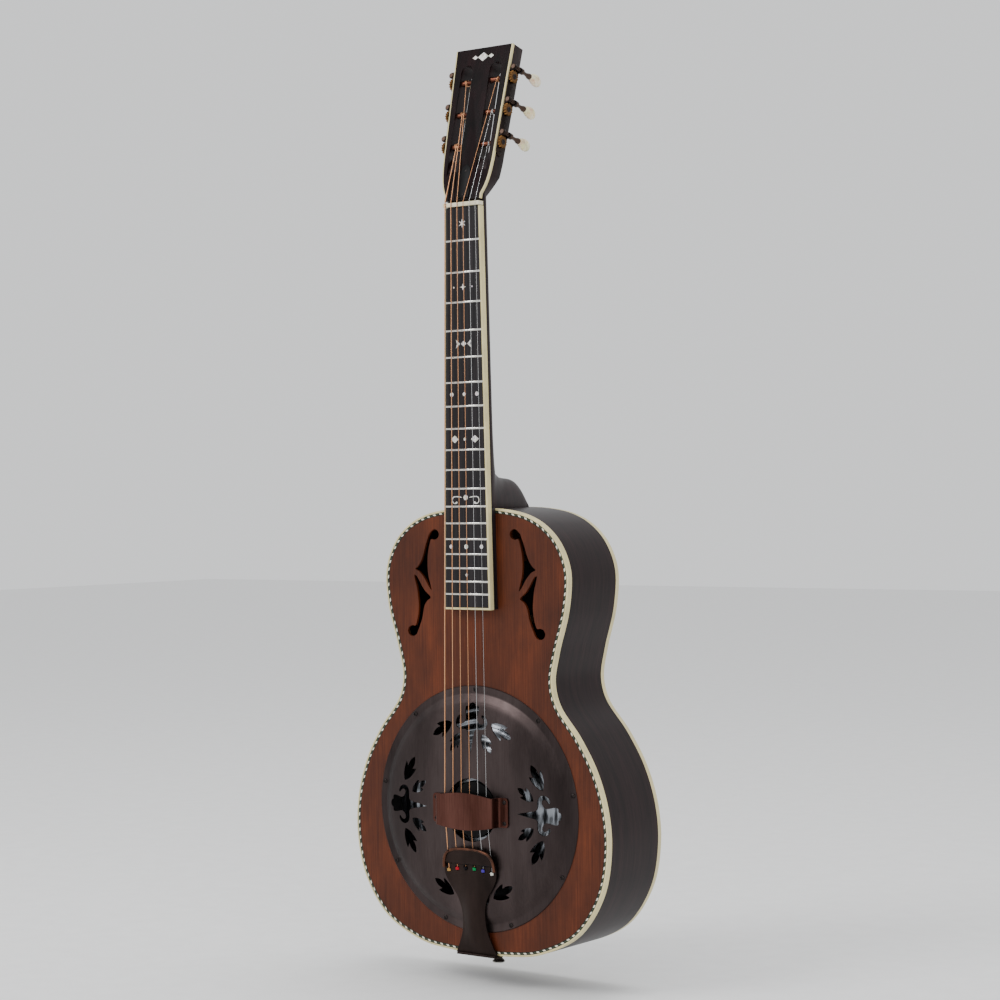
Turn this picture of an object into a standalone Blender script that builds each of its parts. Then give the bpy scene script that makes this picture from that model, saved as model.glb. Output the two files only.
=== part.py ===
"""Resonator guitar: a wooden body with one spun cone under a metal cover, and a slotted headstock.

+Z runs up the neck, the strings face -Y, and +X is the treble side. The origin is the point
under the headstock where a hanger's fork carries the guitar. y = 0 is the soundboard's face.
Every length below is in millimetres; MM turns it into Blender's metres.
"""
import math

import bmesh
import bpy
from mathutils import Matrix, Vector

MM = 0.001
GAP = 0.3                       # clearance between pieces that touch on the real guitar

# Scale and neck
SCALE_LENGTH = 628.65           # 24.75 in
NUT_Z = -18.0
FRET_COUNT = 18
BODY_FRET = 12
BOARD_Y = -13.4                 # playing surface
BOARD_THICK = 6.5
BOARD_END_Z = NUT_Z - 422.7
NUT_HALF = 23.5
NUT_THICK = 4.6
BODY_FRET_HALF = 28.8
EDGE_TRIM = 2.2                 # width of every binding strip
FRET_HIGH = 1.0
FRET_WIDE = 2.2
NECK_BACK_Y = 8.3
HEEL_BACK_Y = 77.0

# Body
BODY_TOP_Z = -333.8
BODY_BOTTOM_Z = -804.1
BODY_HALF = ((40.0, -335.9), (68.0, -341.8), (90.0, -352.8), (108.6, -371.6), (120.0, -400.0),
             (117.3, -439.9), (104.5, -484.0), (98.8, -514.0), (104.5, -537.5), (130.5, -571.0),
             (150.7, -605.5), (163.2, -645.0), (165.8, -685.0), (156.0, -731.0), (126.0, -773.5),
             (78.0, -797.3), (38.0, -803.0))
SPAN_STEPS = 2                  # straight pieces between two outline points
UPPER_DEPTH = 92.0
BACK_SLOPE = 0.0202             # the body gets deeper towards the tail
TOP_THICK = 3.0
BACK_THICK = 2.8
SIDE_THICK = 2.2
BINDING_DEEP = 6.5
LINING_WIDE = 6.0
LINING_DEEP = 13.0
BLOCK_HALF = 34.0

# Resonator
CONE_Z = NUT_Z - 633.0
WELL_RADIUS = 121.0
CONE_RADIUS = 119.5
CONE_FLAT = 34.0
CONE_FOOT = 114.5                # where the slope meets the rim
CONE_APEX_Y = -1.2
CONE_RIM_Y = 20.8
CONE_WALL = 1.0
LEDGE_OUTER = 133.0
LEDGE_INNER = 112.0
LEDGE_THICK = 4.0
COVER_RADIUS = 130.0
COVER_HOLE = 33.0
COVER_WALL = 1.0
COVER_FACE = ((54.0, -11.0), (82.0, -9.6), (104.0, -6.8), (116.0, -4.0), (122.0, -1.3))
COVER_TOP_Y = -11.0
BISCUIT_RADIUS = 30.0
BISCUIT_THICK = 6.0
SADDLE_HALF = 29.0
SADDLE_Z = NUT_Z - 632.0
SADDLE_TOP_Y = -19.7
TURN_STEPS = 40

# Headstock, in its own frame: x across, y into the wood from the face, z up the face
HEAD_TILT = math.radians(14.5)
HEAD_Z = NUT_Z + 5.0
HEAD_LENGTH = 173.4
HEAD_THICK = 18.0
VENEER = 1.5
HEAD_SIDE = ((24.0, 2.4), (24.0, 8.0), (28.0, 16.5), (31.0, 28.0), (33.0, 45.0), (37.5, HEAD_LENGTH))
SLOT_X = 19.5
SLOT_HALF = 8.5
SLOT_LOW = 47.0
SLOT_HIGH = 155.0
RAMP_LOW = 26.0
RAMP_HALF = 7.0
RAMP_DEEP = 5.0

# Tuners: one worm and gear per string, three on each side plate
POST_ROWS = (65.0, 101.0, 137.5)
POST_DEEP = 6.2
POST_RADIUS = 3.2
GEAR_TEETH = 14
GEAR_RADIUS = 6.9
GEAR_THICK = 3.0
WORM_RISE = 10.0
WORM_RADIUS = 2.7
WORM_OUT = 5.0                  # worm axis outside the headstock's edge
PLATE_THICK = 1.2
PLATE_LOW = 50.0
PLATE_HIGH = 152.0
PLATE_FRONT = 1.5
PLATE_BACK = 15.0
EAR_DEPTHS = (2.0, 12.6)        # two ears carry each worm shaft
EAR_THICK = 2.2
EAR_HALF = 3.2
EAR_BORE = 1.8

# Strings: name, radius, half-pitch position from -5 to 5, post row, post's string position
STRINGS = (("low_e", 0.68, -5, 0, 21.5), ("a", 0.53, -3, 1, 20.0), ("d", 0.41, -1, 2, 21.0),
           ("g", 0.33, 1, 2, 21.0), ("b", 0.22, 3, 1, 20.0), ("high_e", 0.16, 5, 0, 21.5))
NUT_PITCH = 7.88
SADDLE_PITCH = 10.9
TAIL_PITCH = 11.3
NUT_STRING_Y = -16.3
SADDLE_STRING_Y = -20.0

# Tailpiece, lying on a plane that rises from the tail towards the saddle
TAIL_HINGE_Y = -2.6
TAIL_HINGE_Z = -803.4
TAIL_RISE = math.atan(0.110)
TAIL_THICK = 1.5
TAIL_LIP = 2.2                  # how far the upper edge is raised, to clear the strings
TAIL_SIDE = ((27.0, 0.0), (21.0, 12.0), (16.0, 26.0), (15.0, 45.0), (19.0, 60.0), (28.5, 74.0),
             (33.4, 84.0), (34.0, 100.0), (31.0, 113.5))
TAIL_HOLE_S = 91.5
STRAP_BUTTON_Y = 34.0

WOOD_DARK = (0.055, 0.022, 0.014)
SPRUCE = (0.16, 0.035, 0.010)
MAHOGANY = (0.045, 0.014, 0.008)
PALE_WOOD = (0.42, 0.27, 0.13)
EBONY = (0.012, 0.010, 0.010)
CREAM = (0.68, 0.60, 0.36)
BONE = (0.80, 0.76, 0.64)
PEARL = (0.82, 0.79, 0.70)
ALUMINIUM = (0.70, 0.71, 0.72)
DARK_COPPER = (0.115, 0.075, 0.066)
COPPER = (0.36, 0.14, 0.08)
BRONZE = (0.55, 0.30, 0.13)
STEEL = (0.60, 0.60, 0.60)


def material(name, colour, roughness, metallic=0.0):
    """A Principled material, made once for each name."""
    if name in bpy.data.materials:
        return bpy.data.materials[name]
    made = bpy.data.materials.new(name)
    made.use_nodes = True
    shader = made.node_tree.nodes["Principled BSDF"]
    shader.inputs["Base Color"].default_value = (*colour, 1.0)
    shader.inputs["Roughness"].default_value = roughness
    shader.inputs["Metallic"].default_value = metallic
    return made


def in_metres(matrix):
    """The same placement with its millimetre translation turned into metres."""
    placed = matrix.copy()
    placed.translation = matrix.translation * MM
    return placed


def add_piece(name, bm, look=None, place=None, parent=None, smooth=False):
    """Turn a closed bmesh into a named object; without a look it is a cutter."""
    bmesh.ops.recalc_face_normals(bm, faces=bm.faces)
    mesh = bpy.data.meshes.new(name)
    bm.to_mesh(mesh)
    bm.free()
    mesh.transform(Matrix.Scale(MM, 4))
    if smooth:
        mesh.shade_smooth()
        mesh.set_sharp_from_angle(angle=math.radians(35))
    piece = bpy.data.objects.new(name, mesh)
    bpy.context.scene.collection.objects.link(piece)
    piece.parent = parent
    piece.matrix_local = in_metres(place if place else Matrix.Identity(4))
    if look:
        mesh.materials.append(material(*look))
    else:
        piece.hide_render = True
        piece.display_type = "WIRE"
    return piece


def combine(piece, other, operation="DIFFERENCE"):
    """Cut a piece by another object, or join the two."""
    change = piece.modifiers.new(other.name, "BOOLEAN")
    change.operation = operation
    change.object = other
    change.solver = "EXACT"


# ---------------------------------------------------------------- shapes

def smooth_points(points, steps, closed):
    """Points on a centripetal Catmull-Rom curve through the given ones."""
    count = len(points)
    found = []
    for index in range(count if closed else count - 1):
        near = [index - 1, index, index + 1, index + 2]
        near = [i % count if closed else min(max(i, 0), count - 1) for i in near]
        before, start, end, after = (Vector(points[i]) for i in near)
        if before == start:
            before = start * 2 - end
        if after == end:
            after = end * 2 - start
        knots = [0.0]
        for a, b in ((before, start), (start, end), (end, after)):
            knots.append(knots[-1] + math.sqrt((b - a).length))
        for step in range(steps):
            t = knots[1] + (knots[2] - knots[1]) * step / steps
            a1 = before.lerp(start, t / knots[1])
            a2 = start.lerp(end, (t - knots[1]) / (knots[2] - knots[1]))
            a3 = end.lerp(after, (t - knots[2]) / (knots[3] - knots[2]))
            b1 = a1.lerp(a2, t / knots[2])
            b2 = a2.lerp(a3, (t - knots[1]) / (knots[3] - knots[1]))
            found.append(b1.lerp(b2, (t - knots[1]) / (knots[2] - knots[1])))
    if not closed:
        found.append(Vector(points[-1]))
    return found


def mirrored(half):
    """A closed outline from the points of its +X half, top to bottom or bottom to top."""
    return list(half) + [(-x, z) for x, z in reversed(half)]


def inset(loop, distance):
    """Move a closed outline sideways, towards its middle for a positive distance."""
    points = [Vector(p) for p in loop]
    area = sum(a.x * b.y - b.x * a.y for a, b in zip(points, points[1:] + points[:1]))
    turn = 1.0 if area > 0 else -1.0
    moved = []
    for index, point in enumerate(points):
        along = (points[(index + 1) % len(points)] - points[index - 1]).normalized()
        moved.append(point + Vector((-along.y, along.x)) * turn * distance)
    return moved


def depth_at(depth, z):
    """A depth is a number, or a function of z for the sloping back."""
    return depth(z) if callable(depth) else depth


def slab(loop, front, back):
    """A closed plate with the outline (x, z), between two depths along Y."""
    bm = bmesh.new()
    rims = [[bm.verts.new((x, depth_at(depth, z), z)) for x, z in loop] for depth in (front, back)]
    bm.faces.new(rims[0])
    bm.faces.new(reversed(rims[1]))
    count = len(loop)
    for index in range(count):
        after = (index + 1) % count
        bm.faces.new((rims[0][index], rims[0][after], rims[1][after], rims[1][index]))
    return bm


def band(outer, inner, front, back, closed=True):
    """A strip of rectangular section between two matching outlines."""
    bm = bmesh.new()
    rails = []
    for line, depth in ((outer, front), (outer, back), (inner, back), (inner, front)):
        rails.append([bm.verts.new((x, depth_at(depth, z), z)) for x, z in line])
    count = len(outer)
    for index in range(count if closed else count - 1):
        after = (index + 1) % count
        for rail, beside in zip(rails, rails[1:] + rails[:1]):
            bm.faces.new((rail[index], rail[after], beside[after], beside[index]))
    if not closed:
        for end in (0, -1):
            bm.faces.new([rail[end] for rail in rails])
    return bm


def add_loft(bm, sections):
    """Add a closed solid through sections of equal point count to a bmesh."""
    rims = [[bm.verts.new(point) for point in section] for section in sections]
    bm.faces.new(rims[0])
    bm.faces.new(reversed(rims[-1]))
    count = len(sections[0])
    for rim, beyond in zip(rims, rims[1:]):
        for index in range(count):
            after = (index + 1) % count
            bm.faces.new((rim[index], rim[after], beyond[after], beyond[index]))
    return bm


def loft(sections):
    return add_loft(bmesh.new(), sections)


def turned(profile, closed, steps=TURN_STEPS):
    """Spin a profile of (radius, y) points about the Y axis."""
    bm = bmesh.new()
    verts = [bm.verts.new((radius, y, 0.0)) for radius, y in profile]
    edges = [bm.edges.new(pair) for pair in zip(verts, verts[1:])]
    if closed:
        edges.append(bm.edges.new((verts[-1], verts[0])))
    bmesh.ops.spin(bm, geom=verts + edges, axis=(0, 1, 0), cent=(0, 0, 0), angle=math.tau,
                   steps=steps, use_merge=True)
    bmesh.ops.remove_doubles(bm, verts=bm.verts, dist=0.0001)
    return bm


def add_box(bm, low, high):
    """Add a box between two corners to a bmesh."""
    size = Vector(high) - Vector(low)
    middle = (Vector(high) + Vector(low)) / 2
    place = Matrix.Translation(middle) @ Matrix.Diagonal((*size, 1.0))
    bmesh.ops.create_cube(bm, size=1.0, matrix=place)
    return bm


def box(low, high):
    return add_box(bmesh.new(), low, high)


def add_rod(bm, start, end, radius, sides):
    """Add a round bar between two points to a bmesh."""
    start, end = Vector(start), Vector(end)
    turn = (end - start).to_track_quat("Z", "Y").to_matrix().to_4x4()
    place = Matrix.Translation((start + end) / 2) @ turn
    bmesh.ops.create_cone(bm, cap_ends=True, segments=sides, radius1=radius, radius2=radius,
                          depth=(end - start).length, matrix=place)
    return bm


def rod(start, end, radius, sides=16):
    return add_rod(bmesh.new(), start, end, radius, sides)


def stadium(x, low, high, half, steps=6):
    """An upright slot outline with round ends, as (x, z)."""
    points = []
    for centre, start in ((high - half, 0.0), (low + half, math.pi)):
        for step in range(steps + 1):
            angle = start + math.pi * step / steps
            points.append((x + half * math.cos(angle), centre + half * math.sin(angle)))
    return points


# ---------------------------------------------------------------- body

def back_y(z):
    return UPPER_DEPTH + (BODY_TOP_Z - z) * BACK_SLOPE


def body_outline(distance=0.0):
    """The body's closed outline, moved inwards by a distance."""
    half = [(0.0, BODY_TOP_Z), *BODY_HALF, (0.0, BODY_BOTTOM_Z)]
    whole = half + [(-x, z) for x, z in reversed(half[1:-1])]
    return inset(smooth_points(whole, SPAN_STEPS, closed=True), distance)


def half_outline(distance, side, reach):
    """One side's half of the body outline, from x = reach at the top to x = reach at the tail."""
    count = (len(BODY_HALF) + 1) * SPAN_STEPS + 1
    line = [Vector((abs(p.x), p.y)) for p in body_outline(distance)[:count]]
    kept = [p for p in line if p.x > reach + 1.0]
    ends = []
    for near, step in ((kept[0], -1), (kept[-1], 1)):
        beyond = line[line.index(near) + step]
        ends.append(near.lerp(beyond, (near.x - reach) / (near.x - beyond.x)))
    return [Vector((side * p.x, p.y)) for p in (ends[0], *kept, ends[1])]


def sound_hole(half_points, side):
    return [(side * x, z) for x, z in smooth_points(half_points, 2, closed=True)]


F_HOLE_UPPER = ((59.5, -361.5), (65.2, -375.4), (68.9, -384.8), (72.7, -392.7), (78.4, -399.0),
                (71.5, -402.2), (64.5, -411.0), (57.4, -421.4), (62.5, -400.7), (61.8, -384.9),
                (59.2, -372.5), (51.5, -369.5), (48.0, -361.5), (53.5, -355.6))
F_HOLE_LOWER = ((81.3, -405.0), (79.1, -416.4), (77.9, -429.0), (78.7, -440.1), (82.2, -452.0),
                (89.0, -457.0), (93.5, -466.0), (86.0, -473.5), (77.5, -469.5), (74.5, -460.5),
                (71.4, -448.2), (67.0, -437.2), (59.9, -427.8), (70.3, -419.6), (76.2, -411.7))


def build_soundboard():
    look = ("spruce_top", SPRUCE, 0.55)
    board = add_piece("soundboard", slab(body_outline(EDGE_TRIM + GAP), 0.0, TOP_THICK), look)
    well = rod((0, -9, CONE_Z), (0, 9, CONE_Z), WELL_RADIUS, TURN_STEPS)
    combine(board, add_piece("cut_well", well))
    for side, name in ((-1, "bass"), (1, "treble")):
        for half, points in (("upper", F_HOLE_UPPER), ("lower", F_HOLE_LOWER)):
            hole = slab(sound_hole(points, side), -5.0, 8.0)
            combine(board, add_piece(f"cut_f_{half}_{name}", hole))


def build_shell():
    """Sides, back and the cream strips round both edges."""
    dark = ("dark_mahogany", WOOD_DARK, 0.35)
    cream = ("cream_binding", CREAM, 0.4)
    outer, inner = body_outline(), body_outline(EDGE_TRIM)
    add_piece("top_binding", band(outer, inner, 0.0, BINDING_DEEP), cream, smooth=True)
    add_piece("back_binding", band(outer, inner, lambda z: back_y(z) - BINDING_DEEP, back_y), cream,
              smooth=True)
    add_piece("back", slab(body_outline(EDGE_TRIM + GAP), lambda z: back_y(z) - BACK_THICK, back_y), dark)
    front = BINDING_DEEP + GAP
    for side, name in ((-1, "bass"), (1, "treble")):
        outer = half_outline(0.0, side, GAP / 2)
        inner = half_outline(SIDE_THICK, side, GAP / 2)
        wall = band(outer, inner, front, lambda z: back_y(z) - BINDING_DEEP - GAP, closed=False)
        add_piece(f"side_{name}", wall, dark, smooth=True)


def build_linings():
    pale = ("lining_wood", PALE_WOOD, 0.7)
    near, far = SIDE_THICK + GAP, SIDE_THICK + GAP + LINING_WIDE
    depths = {"top": (TOP_THICK + GAP, TOP_THICK + GAP + LINING_DEEP),
              "back": (lambda z: back_y(z) - BACK_THICK - GAP - LINING_DEEP,
                       lambda z: back_y(z) - BACK_THICK - GAP)}
    for side, name in ((-1, "bass"), (1, "treble")):
        outer = half_outline(near, side, BLOCK_HALF + 2.0)
        inner = half_outline(far, side, BLOCK_HALF + 2.0)
        for layer, (front, back) in depths.items():
            add_piece(f"{layer}_lining_{name}", band(outer, inner, front, back, closed=False), pale)


def build_blocks():
    pale = ("block_wood", PALE_WOOD, 0.7)
    for name, z_low, z_high in (("neck_block", -392.0, -340.0), ("tail_block", -798.8, -786.5)):
        back = back_y(z_high) - BACK_THICK - GAP - 0.2
        add_piece(name, box((-BLOCK_HALF, TOP_THICK + GAP, z_low), (BLOCK_HALF, back, z_high)), pale)
    add_piece("top_brace", box((-88, TOP_THICK + GAP, -499), (88, 15, -491)), pale)
    for name, z, half in (("upper", -455, 100), ("middle", -585, 124), ("lower", -725, 144)):
        back = back_y(z + 4) - BACK_THICK - GAP - 0.2
        add_piece(f"back_brace_{name}", box((-half, back - 12, z - 4), (half, back, z + 4)), pale)


# ---------------------------------------------------------------- resonator

def petal(along, across, length, width, angle, turn):
    """A pointed leaf with two barbs, placed by its distance along and across a group's axis."""
    side = ((0.0, -0.5), (0.32, -0.34), (0.5, 0.1), (0.2, -0.04), (0.22, 0.2), (0.0, 0.5))
    points = [*side, *[(-u, v) for u, v in reversed(side[1:-1])]]
    own = Matrix.Rotation(math.radians(angle), 2)
    group = Matrix.Rotation(math.radians(turn), 2)
    return [group @ (own @ Vector((u * width, v * length)) + Vector((across, along))) for u, v in points]


def scroll(side, turn):
    """A thin curl beside the bloom."""
    group = Matrix.Rotation(math.radians(turn), 2)
    middle = Vector((side * 14.5, 93.0))
    points = []
    for radius, steps in ((6.5, (0, 1, 2, 3, 4)), (3.5, (4, 2, 0))):
        for step in steps:
            angle = math.radians(-100 + 200 * step / 4)
            points.append(group @ (middle + Vector((side * math.cos(angle), math.sin(angle))) * radius))
    return points


def cover_openings():
    """Four sprays of cut-outs round the cover: a bloom on a spike, two scrolls and four leaves."""
    openings = []
    for turn in (0, 90, 180, 270):
        openings.append(petal(73.0, 0, 24, 8, 180, turn))
        openings.append(petal(100.0, 0, 24, 14, 0, turn))
        for side in (-1, 1):
            openings.append(scroll(side, turn))
            openings.append(petal(68.5, side * 21, 19, 14, side * -135, turn))
            openings.append(petal(84.0, side * 39.5, 27, 19, side * -115, turn))
    return openings


def build_resonator():
    face = [(COVER_HOLE, COVER_TOP_Y), *COVER_FACE, (COVER_RADIUS, -COVER_WALL - GAP)]
    under = [(radius - 0.3, y + COVER_WALL) for radius, y in reversed(face[1:-1])]
    under = [(COVER_RADIUS, -GAP), *under, (COVER_HOLE, COVER_TOP_Y + COVER_WALL)]
    place = Matrix.Translation((0, 0, CONE_Z))
    half_step = Matrix.Rotation(math.pi / TURN_STEPS, 4, "Y")
    cover = add_piece("cover_plate", turned(face + under, closed=True),
                      ("dark_copper", DARK_COPPER, 0.35, 1.0), place @ half_step, smooth=True)
    holes = bmesh.new()
    for outline in cover_openings():
        hole = slab(outline, -16.0, 3.0)
        mesh = bpy.data.meshes.new("hole")
        hole.to_mesh(mesh)
        hole.free()
        holes.from_mesh(mesh)
        bpy.data.meshes.remove(mesh)
    combine(cover, add_piece("cut_cover", holes, place=place))

    rim = CONE_RIM_Y
    cone = [(0, CONE_APEX_Y), (CONE_FLAT, CONE_APEX_Y), (CONE_FOOT, rim), (CONE_RADIUS, rim),
            (CONE_RADIUS, rim + CONE_WALL), (CONE_FOOT - 0.4, rim + CONE_WALL),
            (CONE_FLAT - 0.4, CONE_APEX_Y + CONE_WALL), (0, CONE_APEX_Y + CONE_WALL)]
    add_piece("resonator_cone", turned(cone, closed=False), ("spun_aluminium", ALUMINIUM, 0.3, 1.0), place,
              smooth=True)
    ledge_y = CONE_RIM_Y + CONE_WALL + GAP
    front = TOP_THICK + GAP
    shelf = ledge_y + LEDGE_THICK
    ledge = [(WELL_RADIUS, front), (LEDGE_OUTER, front), (LEDGE_OUTER, shelf), (LEDGE_INNER, shelf),
             (LEDGE_INNER, ledge_y), (WELL_RADIUS, ledge_y)]
    add_piece("cone_ledge", turned(ledge, closed=True), ("block_wood", PALE_WOOD, 0.7), place, smooth=True)
    seat = CONE_APEX_Y - GAP
    top = seat - BISCUIT_THICK
    biscuit = [(0, top), (BISCUIT_RADIUS - 1.5, top), (BISCUIT_RADIUS, top + 1.5), (BISCUIT_RADIUS, seat),
               (0, seat)]
    add_piece("biscuit", turned(biscuit, closed=False, steps=32), ("black_maple", EBONY, 0.5), place,
              smooth=True)
    saddle = box((-SADDLE_HALF, SADDLE_TOP_Y, SADDLE_Z - 1.5), (SADDLE_HALF, top - GAP, SADDLE_Z + 1.5))
    add_piece("saddle", saddle, ("saddle_maple", PALE_WOOD, 0.5))


REST_HALF = ((49.3, -12.8), (39.6, -12.8), (38.2, -13.6), (36.9, -23.6), (35.6, -25.2), (33.0, -25.8))


def build_hand_rest():
    """A bent strap over the saddle, on two feet screwed to the cover."""
    wall = 1.3
    side = [*REST_HALF, (17.0, -26.0)]
    line = [Vector(p) for p in [*side, (0.0, -26.0), *[(-x, y) for x, y in reversed(side)]]]
    sections = []
    for index, point in enumerate(line):
        along = (line[min(index + 1, len(line) - 1)] - line[max(index - 1, 0)]).normalized()
        inner = point + Vector((-along.y, along.x)) * -wall
        half = 15.5 + 4.0 * max(0.0, math.cos(math.pi * point.x / 74.0))
        corners = ((point, half), (point, -half), (inner, -half), (inner, half))
        sections.append([(p.x, p.y, CONE_Z + z) for p, z in corners])
    add_piece("hand_rest", loft(sections), ("hand_rest_copper", COPPER, 0.35, 1.0))


def tail_place():
    """The tailpiece's frame: z runs up the plate from the tail, y is through its thickness."""
    return Matrix.Translation((0, TAIL_HINGE_Y, TAIL_HINGE_Z)) @ Matrix.Rotation(TAIL_RISE, 4, "X")


def build_tailpiece():
    bronze = ("dark_bronze", DARK_COPPER, 0.5, 1.0)
    side = smooth_points(TAIL_SIDE, 2, closed=False)
    place = tail_place()
    raised = TAIL_THICK + TAIL_LIP
    under = [(0.0, 0.0), (95.6, 0.0), (97.9, -TAIL_LIP), (114.0, -TAIL_LIP)]
    over = [(114.0, -raised), (97.0, -raised), (94.6, -TAIL_THICK), (0.0, -TAIL_THICK)]
    sections = [[(x, y, s) for s, y in under + over] for x in (-40.0, 40.0)]
    plate = add_piece("tailpiece", loft(sections), bronze, place)
    combine(plate, add_piece("trim_tailpiece", slab(mirrored(side), -9, 4), place=place), "INTERSECT")
    holes = bmesh.new()
    channels = bmesh.new()
    for _, radius, position, _, _ in STRINGS:
        x, s = position * TAIL_PITCH / 2, tail_hole_s(position)
        add_rod(holes, (x, -4, s), (x, 4, s), 2.6, 10)
        add_box(channels, (x - radius - 0.5, -TAIL_THICK - 0.6, s), (x + radius + 0.5, 1.0, 98.5))
    combine(plate, add_piece("cut_tail_holes", holes, place=place))
    combine(plate, add_piece("cut_tail_channels", channels, place=place))

    end_z = BODY_BOTTOM_Z - GAP
    bracket = slab([(27, -4.0), (27, 4), (13, 46), (-13, 46), (-27, 4), (-27, -4.0)], 0.0, 1.5)
    upright = Matrix.Translation((0, 0, end_z)) @ tail_turn()
    tail = add_piece("tail_bracket", bracket, bronze, upright)
    hole = rod((0, -6, STRAP_BUTTON_Y), (0, 6, STRAP_BUTTON_Y), 3.3, 16)
    combine(tail, add_piece("cut_tail_bracket", hole, place=upright))


def tail_turn():
    """Lay a slab drawn in (x, z) over the tail end, with its z running backwards along +Y."""
    return Matrix(((1, 0, 0, 0), (0, 0, 1, 0), (0, -1, 0, 0), (0, 0, 0, 1)))


def tail_hole_s(position):
    return TAIL_HOLE_S - 0.12 * position * position


def build_strap_button():
    z = BODY_BOTTOM_Z - GAP
    profile = [(0, 0.6), (3.0, 0.6), (3.0, 2.0), (6.5, 2.0), (4.2, 5.0), (4.2, 9.0), (7.0, 12.0),
               (7.0, 13.5), (0, 13.5)]
    place = Matrix.Translation((0, STRAP_BUTTON_Y, z)) @ tail_turn()
    add_piece("strap_button", turned(profile, closed=False, steps=20), ("button_steel", STEEL, 0.3, 1.0),
              place, smooth=True)


# ---------------------------------------------------------------- neck

def neck_half(z):
    """Half the fingerboard's width at a height on the neck."""
    body_z = fret_z(BODY_FRET)
    return NUT_HALF + (BODY_FRET_HALF - NUT_HALF) * (NUT_Z - z) / (NUT_Z - body_z)


def fret_z(number):
    return NUT_Z - SCALE_LENGTH * (1 - 2 ** (-number / 12))


def neck_section(z):
    """A D-shaped section across the neck: flat under the fingerboard, round at the back."""
    top = BOARD_Y + BOARD_THICK + GAP
    half = neck_half(z)
    back = NECK_BACK_Y + 0.009 * (NUT_Z - z)
    points = []
    for step in range(13):
        angle = math.pi * step / 12
        points.append((half * math.cos(angle), top + 2.5 + (back - top - 2.5) * math.sin(angle), z))
    return [(half, top, z), *points, (-half, top, z)]


HEEL = ((-4.0, 24.0, -262.0), (6.0, 24.0, -276.0), (14.0, 24.0, -286.0), (24.0, 23.5, -295.0),
        (36.0, 22.5, -301.5), (48.0, 21.0, -303.5), (58.0, 19.5, -304.5), (65.0, 18.0, -307.5),
        (71.0, 17.0, -313.0), (HEEL_BACK_Y, 15.5, -325.0))


def heel_section(y, half, top_z):
    """Half an ellipse standing on the body's end, at one depth of the heel."""
    base = BODY_TOP_Z + GAP
    points = []
    for step in range(11):
        angle = math.pi * step / 10
        points.append((half * math.cos(angle), y, base + 1.0 + (top_z - base - 1.0) * math.sin(angle)))
    return [(half, y, base), *points, (-half, y, base)]


def build_neck(head):
    wood = ("neck_mahogany", MAHOGANY, 0.35)
    lowest = BODY_TOP_Z + GAP
    heights = (-6.0, -30.0, -120.0, -220.0, lowest)
    neck = add_piece("neck", loft([neck_section(z) for z in heights]), wood, smooth=True)
    heel = add_piece("add_heel", loft([heel_section(*row) for row in HEEL]))
    combine(neck, heel, "UNION")
    block = add_piece("add_headstock", slab(mirrored(HEAD_SIDE), VENEER + GAP, HEAD_THICK), parent=head)
    combine(neck, block, "UNION")
    channel = box((-3.4, -20.0, -322.5), (3.4, 0.2, 14.0))
    channel_cutter = add_piece("cut_truss_channel", channel)
    combine(neck, channel_cutter)
    slots = add_piece("cut_head_slots", head_slots(), parent=head)
    combine(neck, slots)
    ramps = add_piece("cut_head_ramps", head_ramps(), parent=head)
    combine(neck, ramps)
    bores = bmesh.new()
    for side in (-1, 1):
        for row in POST_ROWS:
            add_rod(bores, (side * 5.5, POST_DEEP, row), (side * 45, POST_DEEP, row), POST_RADIUS + GAP, 14)
    combine(neck, add_piece("cut_post_bores", bores, parent=head))
    return channel_cutter, slots, ramps


def edge_x(height):
    """Half the headstock's width at a height on its straight upper part."""
    (x1, z1), (x2, z2) = HEAD_SIDE[-2:]
    return x1 + (x2 - x1) * (height - z1) / (z2 - z1)


def head_slots():
    """The two string slots, right through the headstock."""
    bm = bmesh.new()
    for side in (-1, 1):
        outline = stadium(side * SLOT_X, SLOT_LOW, SLOT_HIGH, SLOT_HALF)
        add_loft(bm, [[(x, y, z) for x, z in outline] for y in (-6.0, HEAD_THICK + 12.0)])
    return bm


def head_ramps():
    """Wedges that let the strings run down into the slots."""
    bm = bmesh.new()
    end = SLOT_LOW + SLOT_HALF + 0.5
    wedge = ((-1.0, RAMP_LOW), (RAMP_DEEP, SLOT_LOW + 1.0), (RAMP_DEEP, end), (-1.0, end))
    for side in (-1, 1):
        add_loft(bm, [[(side * SLOT_X + x, y, z) for y, z in wedge] for x in (-RAMP_HALF, RAMP_HALF)])
    return bm


def head_outline(trim=0.0):
    """The headstock's outline, with its sides and top moved inwards."""
    return mirrored([(x - trim, z - (trim if z == HEAD_LENGTH else 0.0)) for x, z in HEAD_SIDE])


def build_headstock(head, cutters):
    black = ("head_veneer", EBONY, 0.3)
    veneer = add_piece("head_veneer", slab(head_outline(EDGE_TRIM + GAP), 0.0, VENEER), black, parent=head)
    for cutter in cutters:
        combine(veneer, cutter)
    strip = band(head_outline(), head_outline(EDGE_TRIM), 0.0, VENEER, closed=False)
    add_piece("head_binding", strip, ("cream_binding", CREAM, 0.4), parent=head)
    half = ((8.0, 4.0), (8.0, 12.0), (5.2, 22.0), (6.4, 30.0), (5.0, 37.0), (0.6, 41.0))
    cover = slab(mirrored(half), -1.0, -0.2)
    add_piece("truss_rod_cover", cover, ("cover_plastic", EBONY, 0.3), parent=head)
    add_piece("truss_rod", rod((0, -3.2, -321.5), (0, -3.2, 6.0), 2.7, 12), ("button_steel", STEEL, 0.3, 1.0),
              smooth=True)


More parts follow.
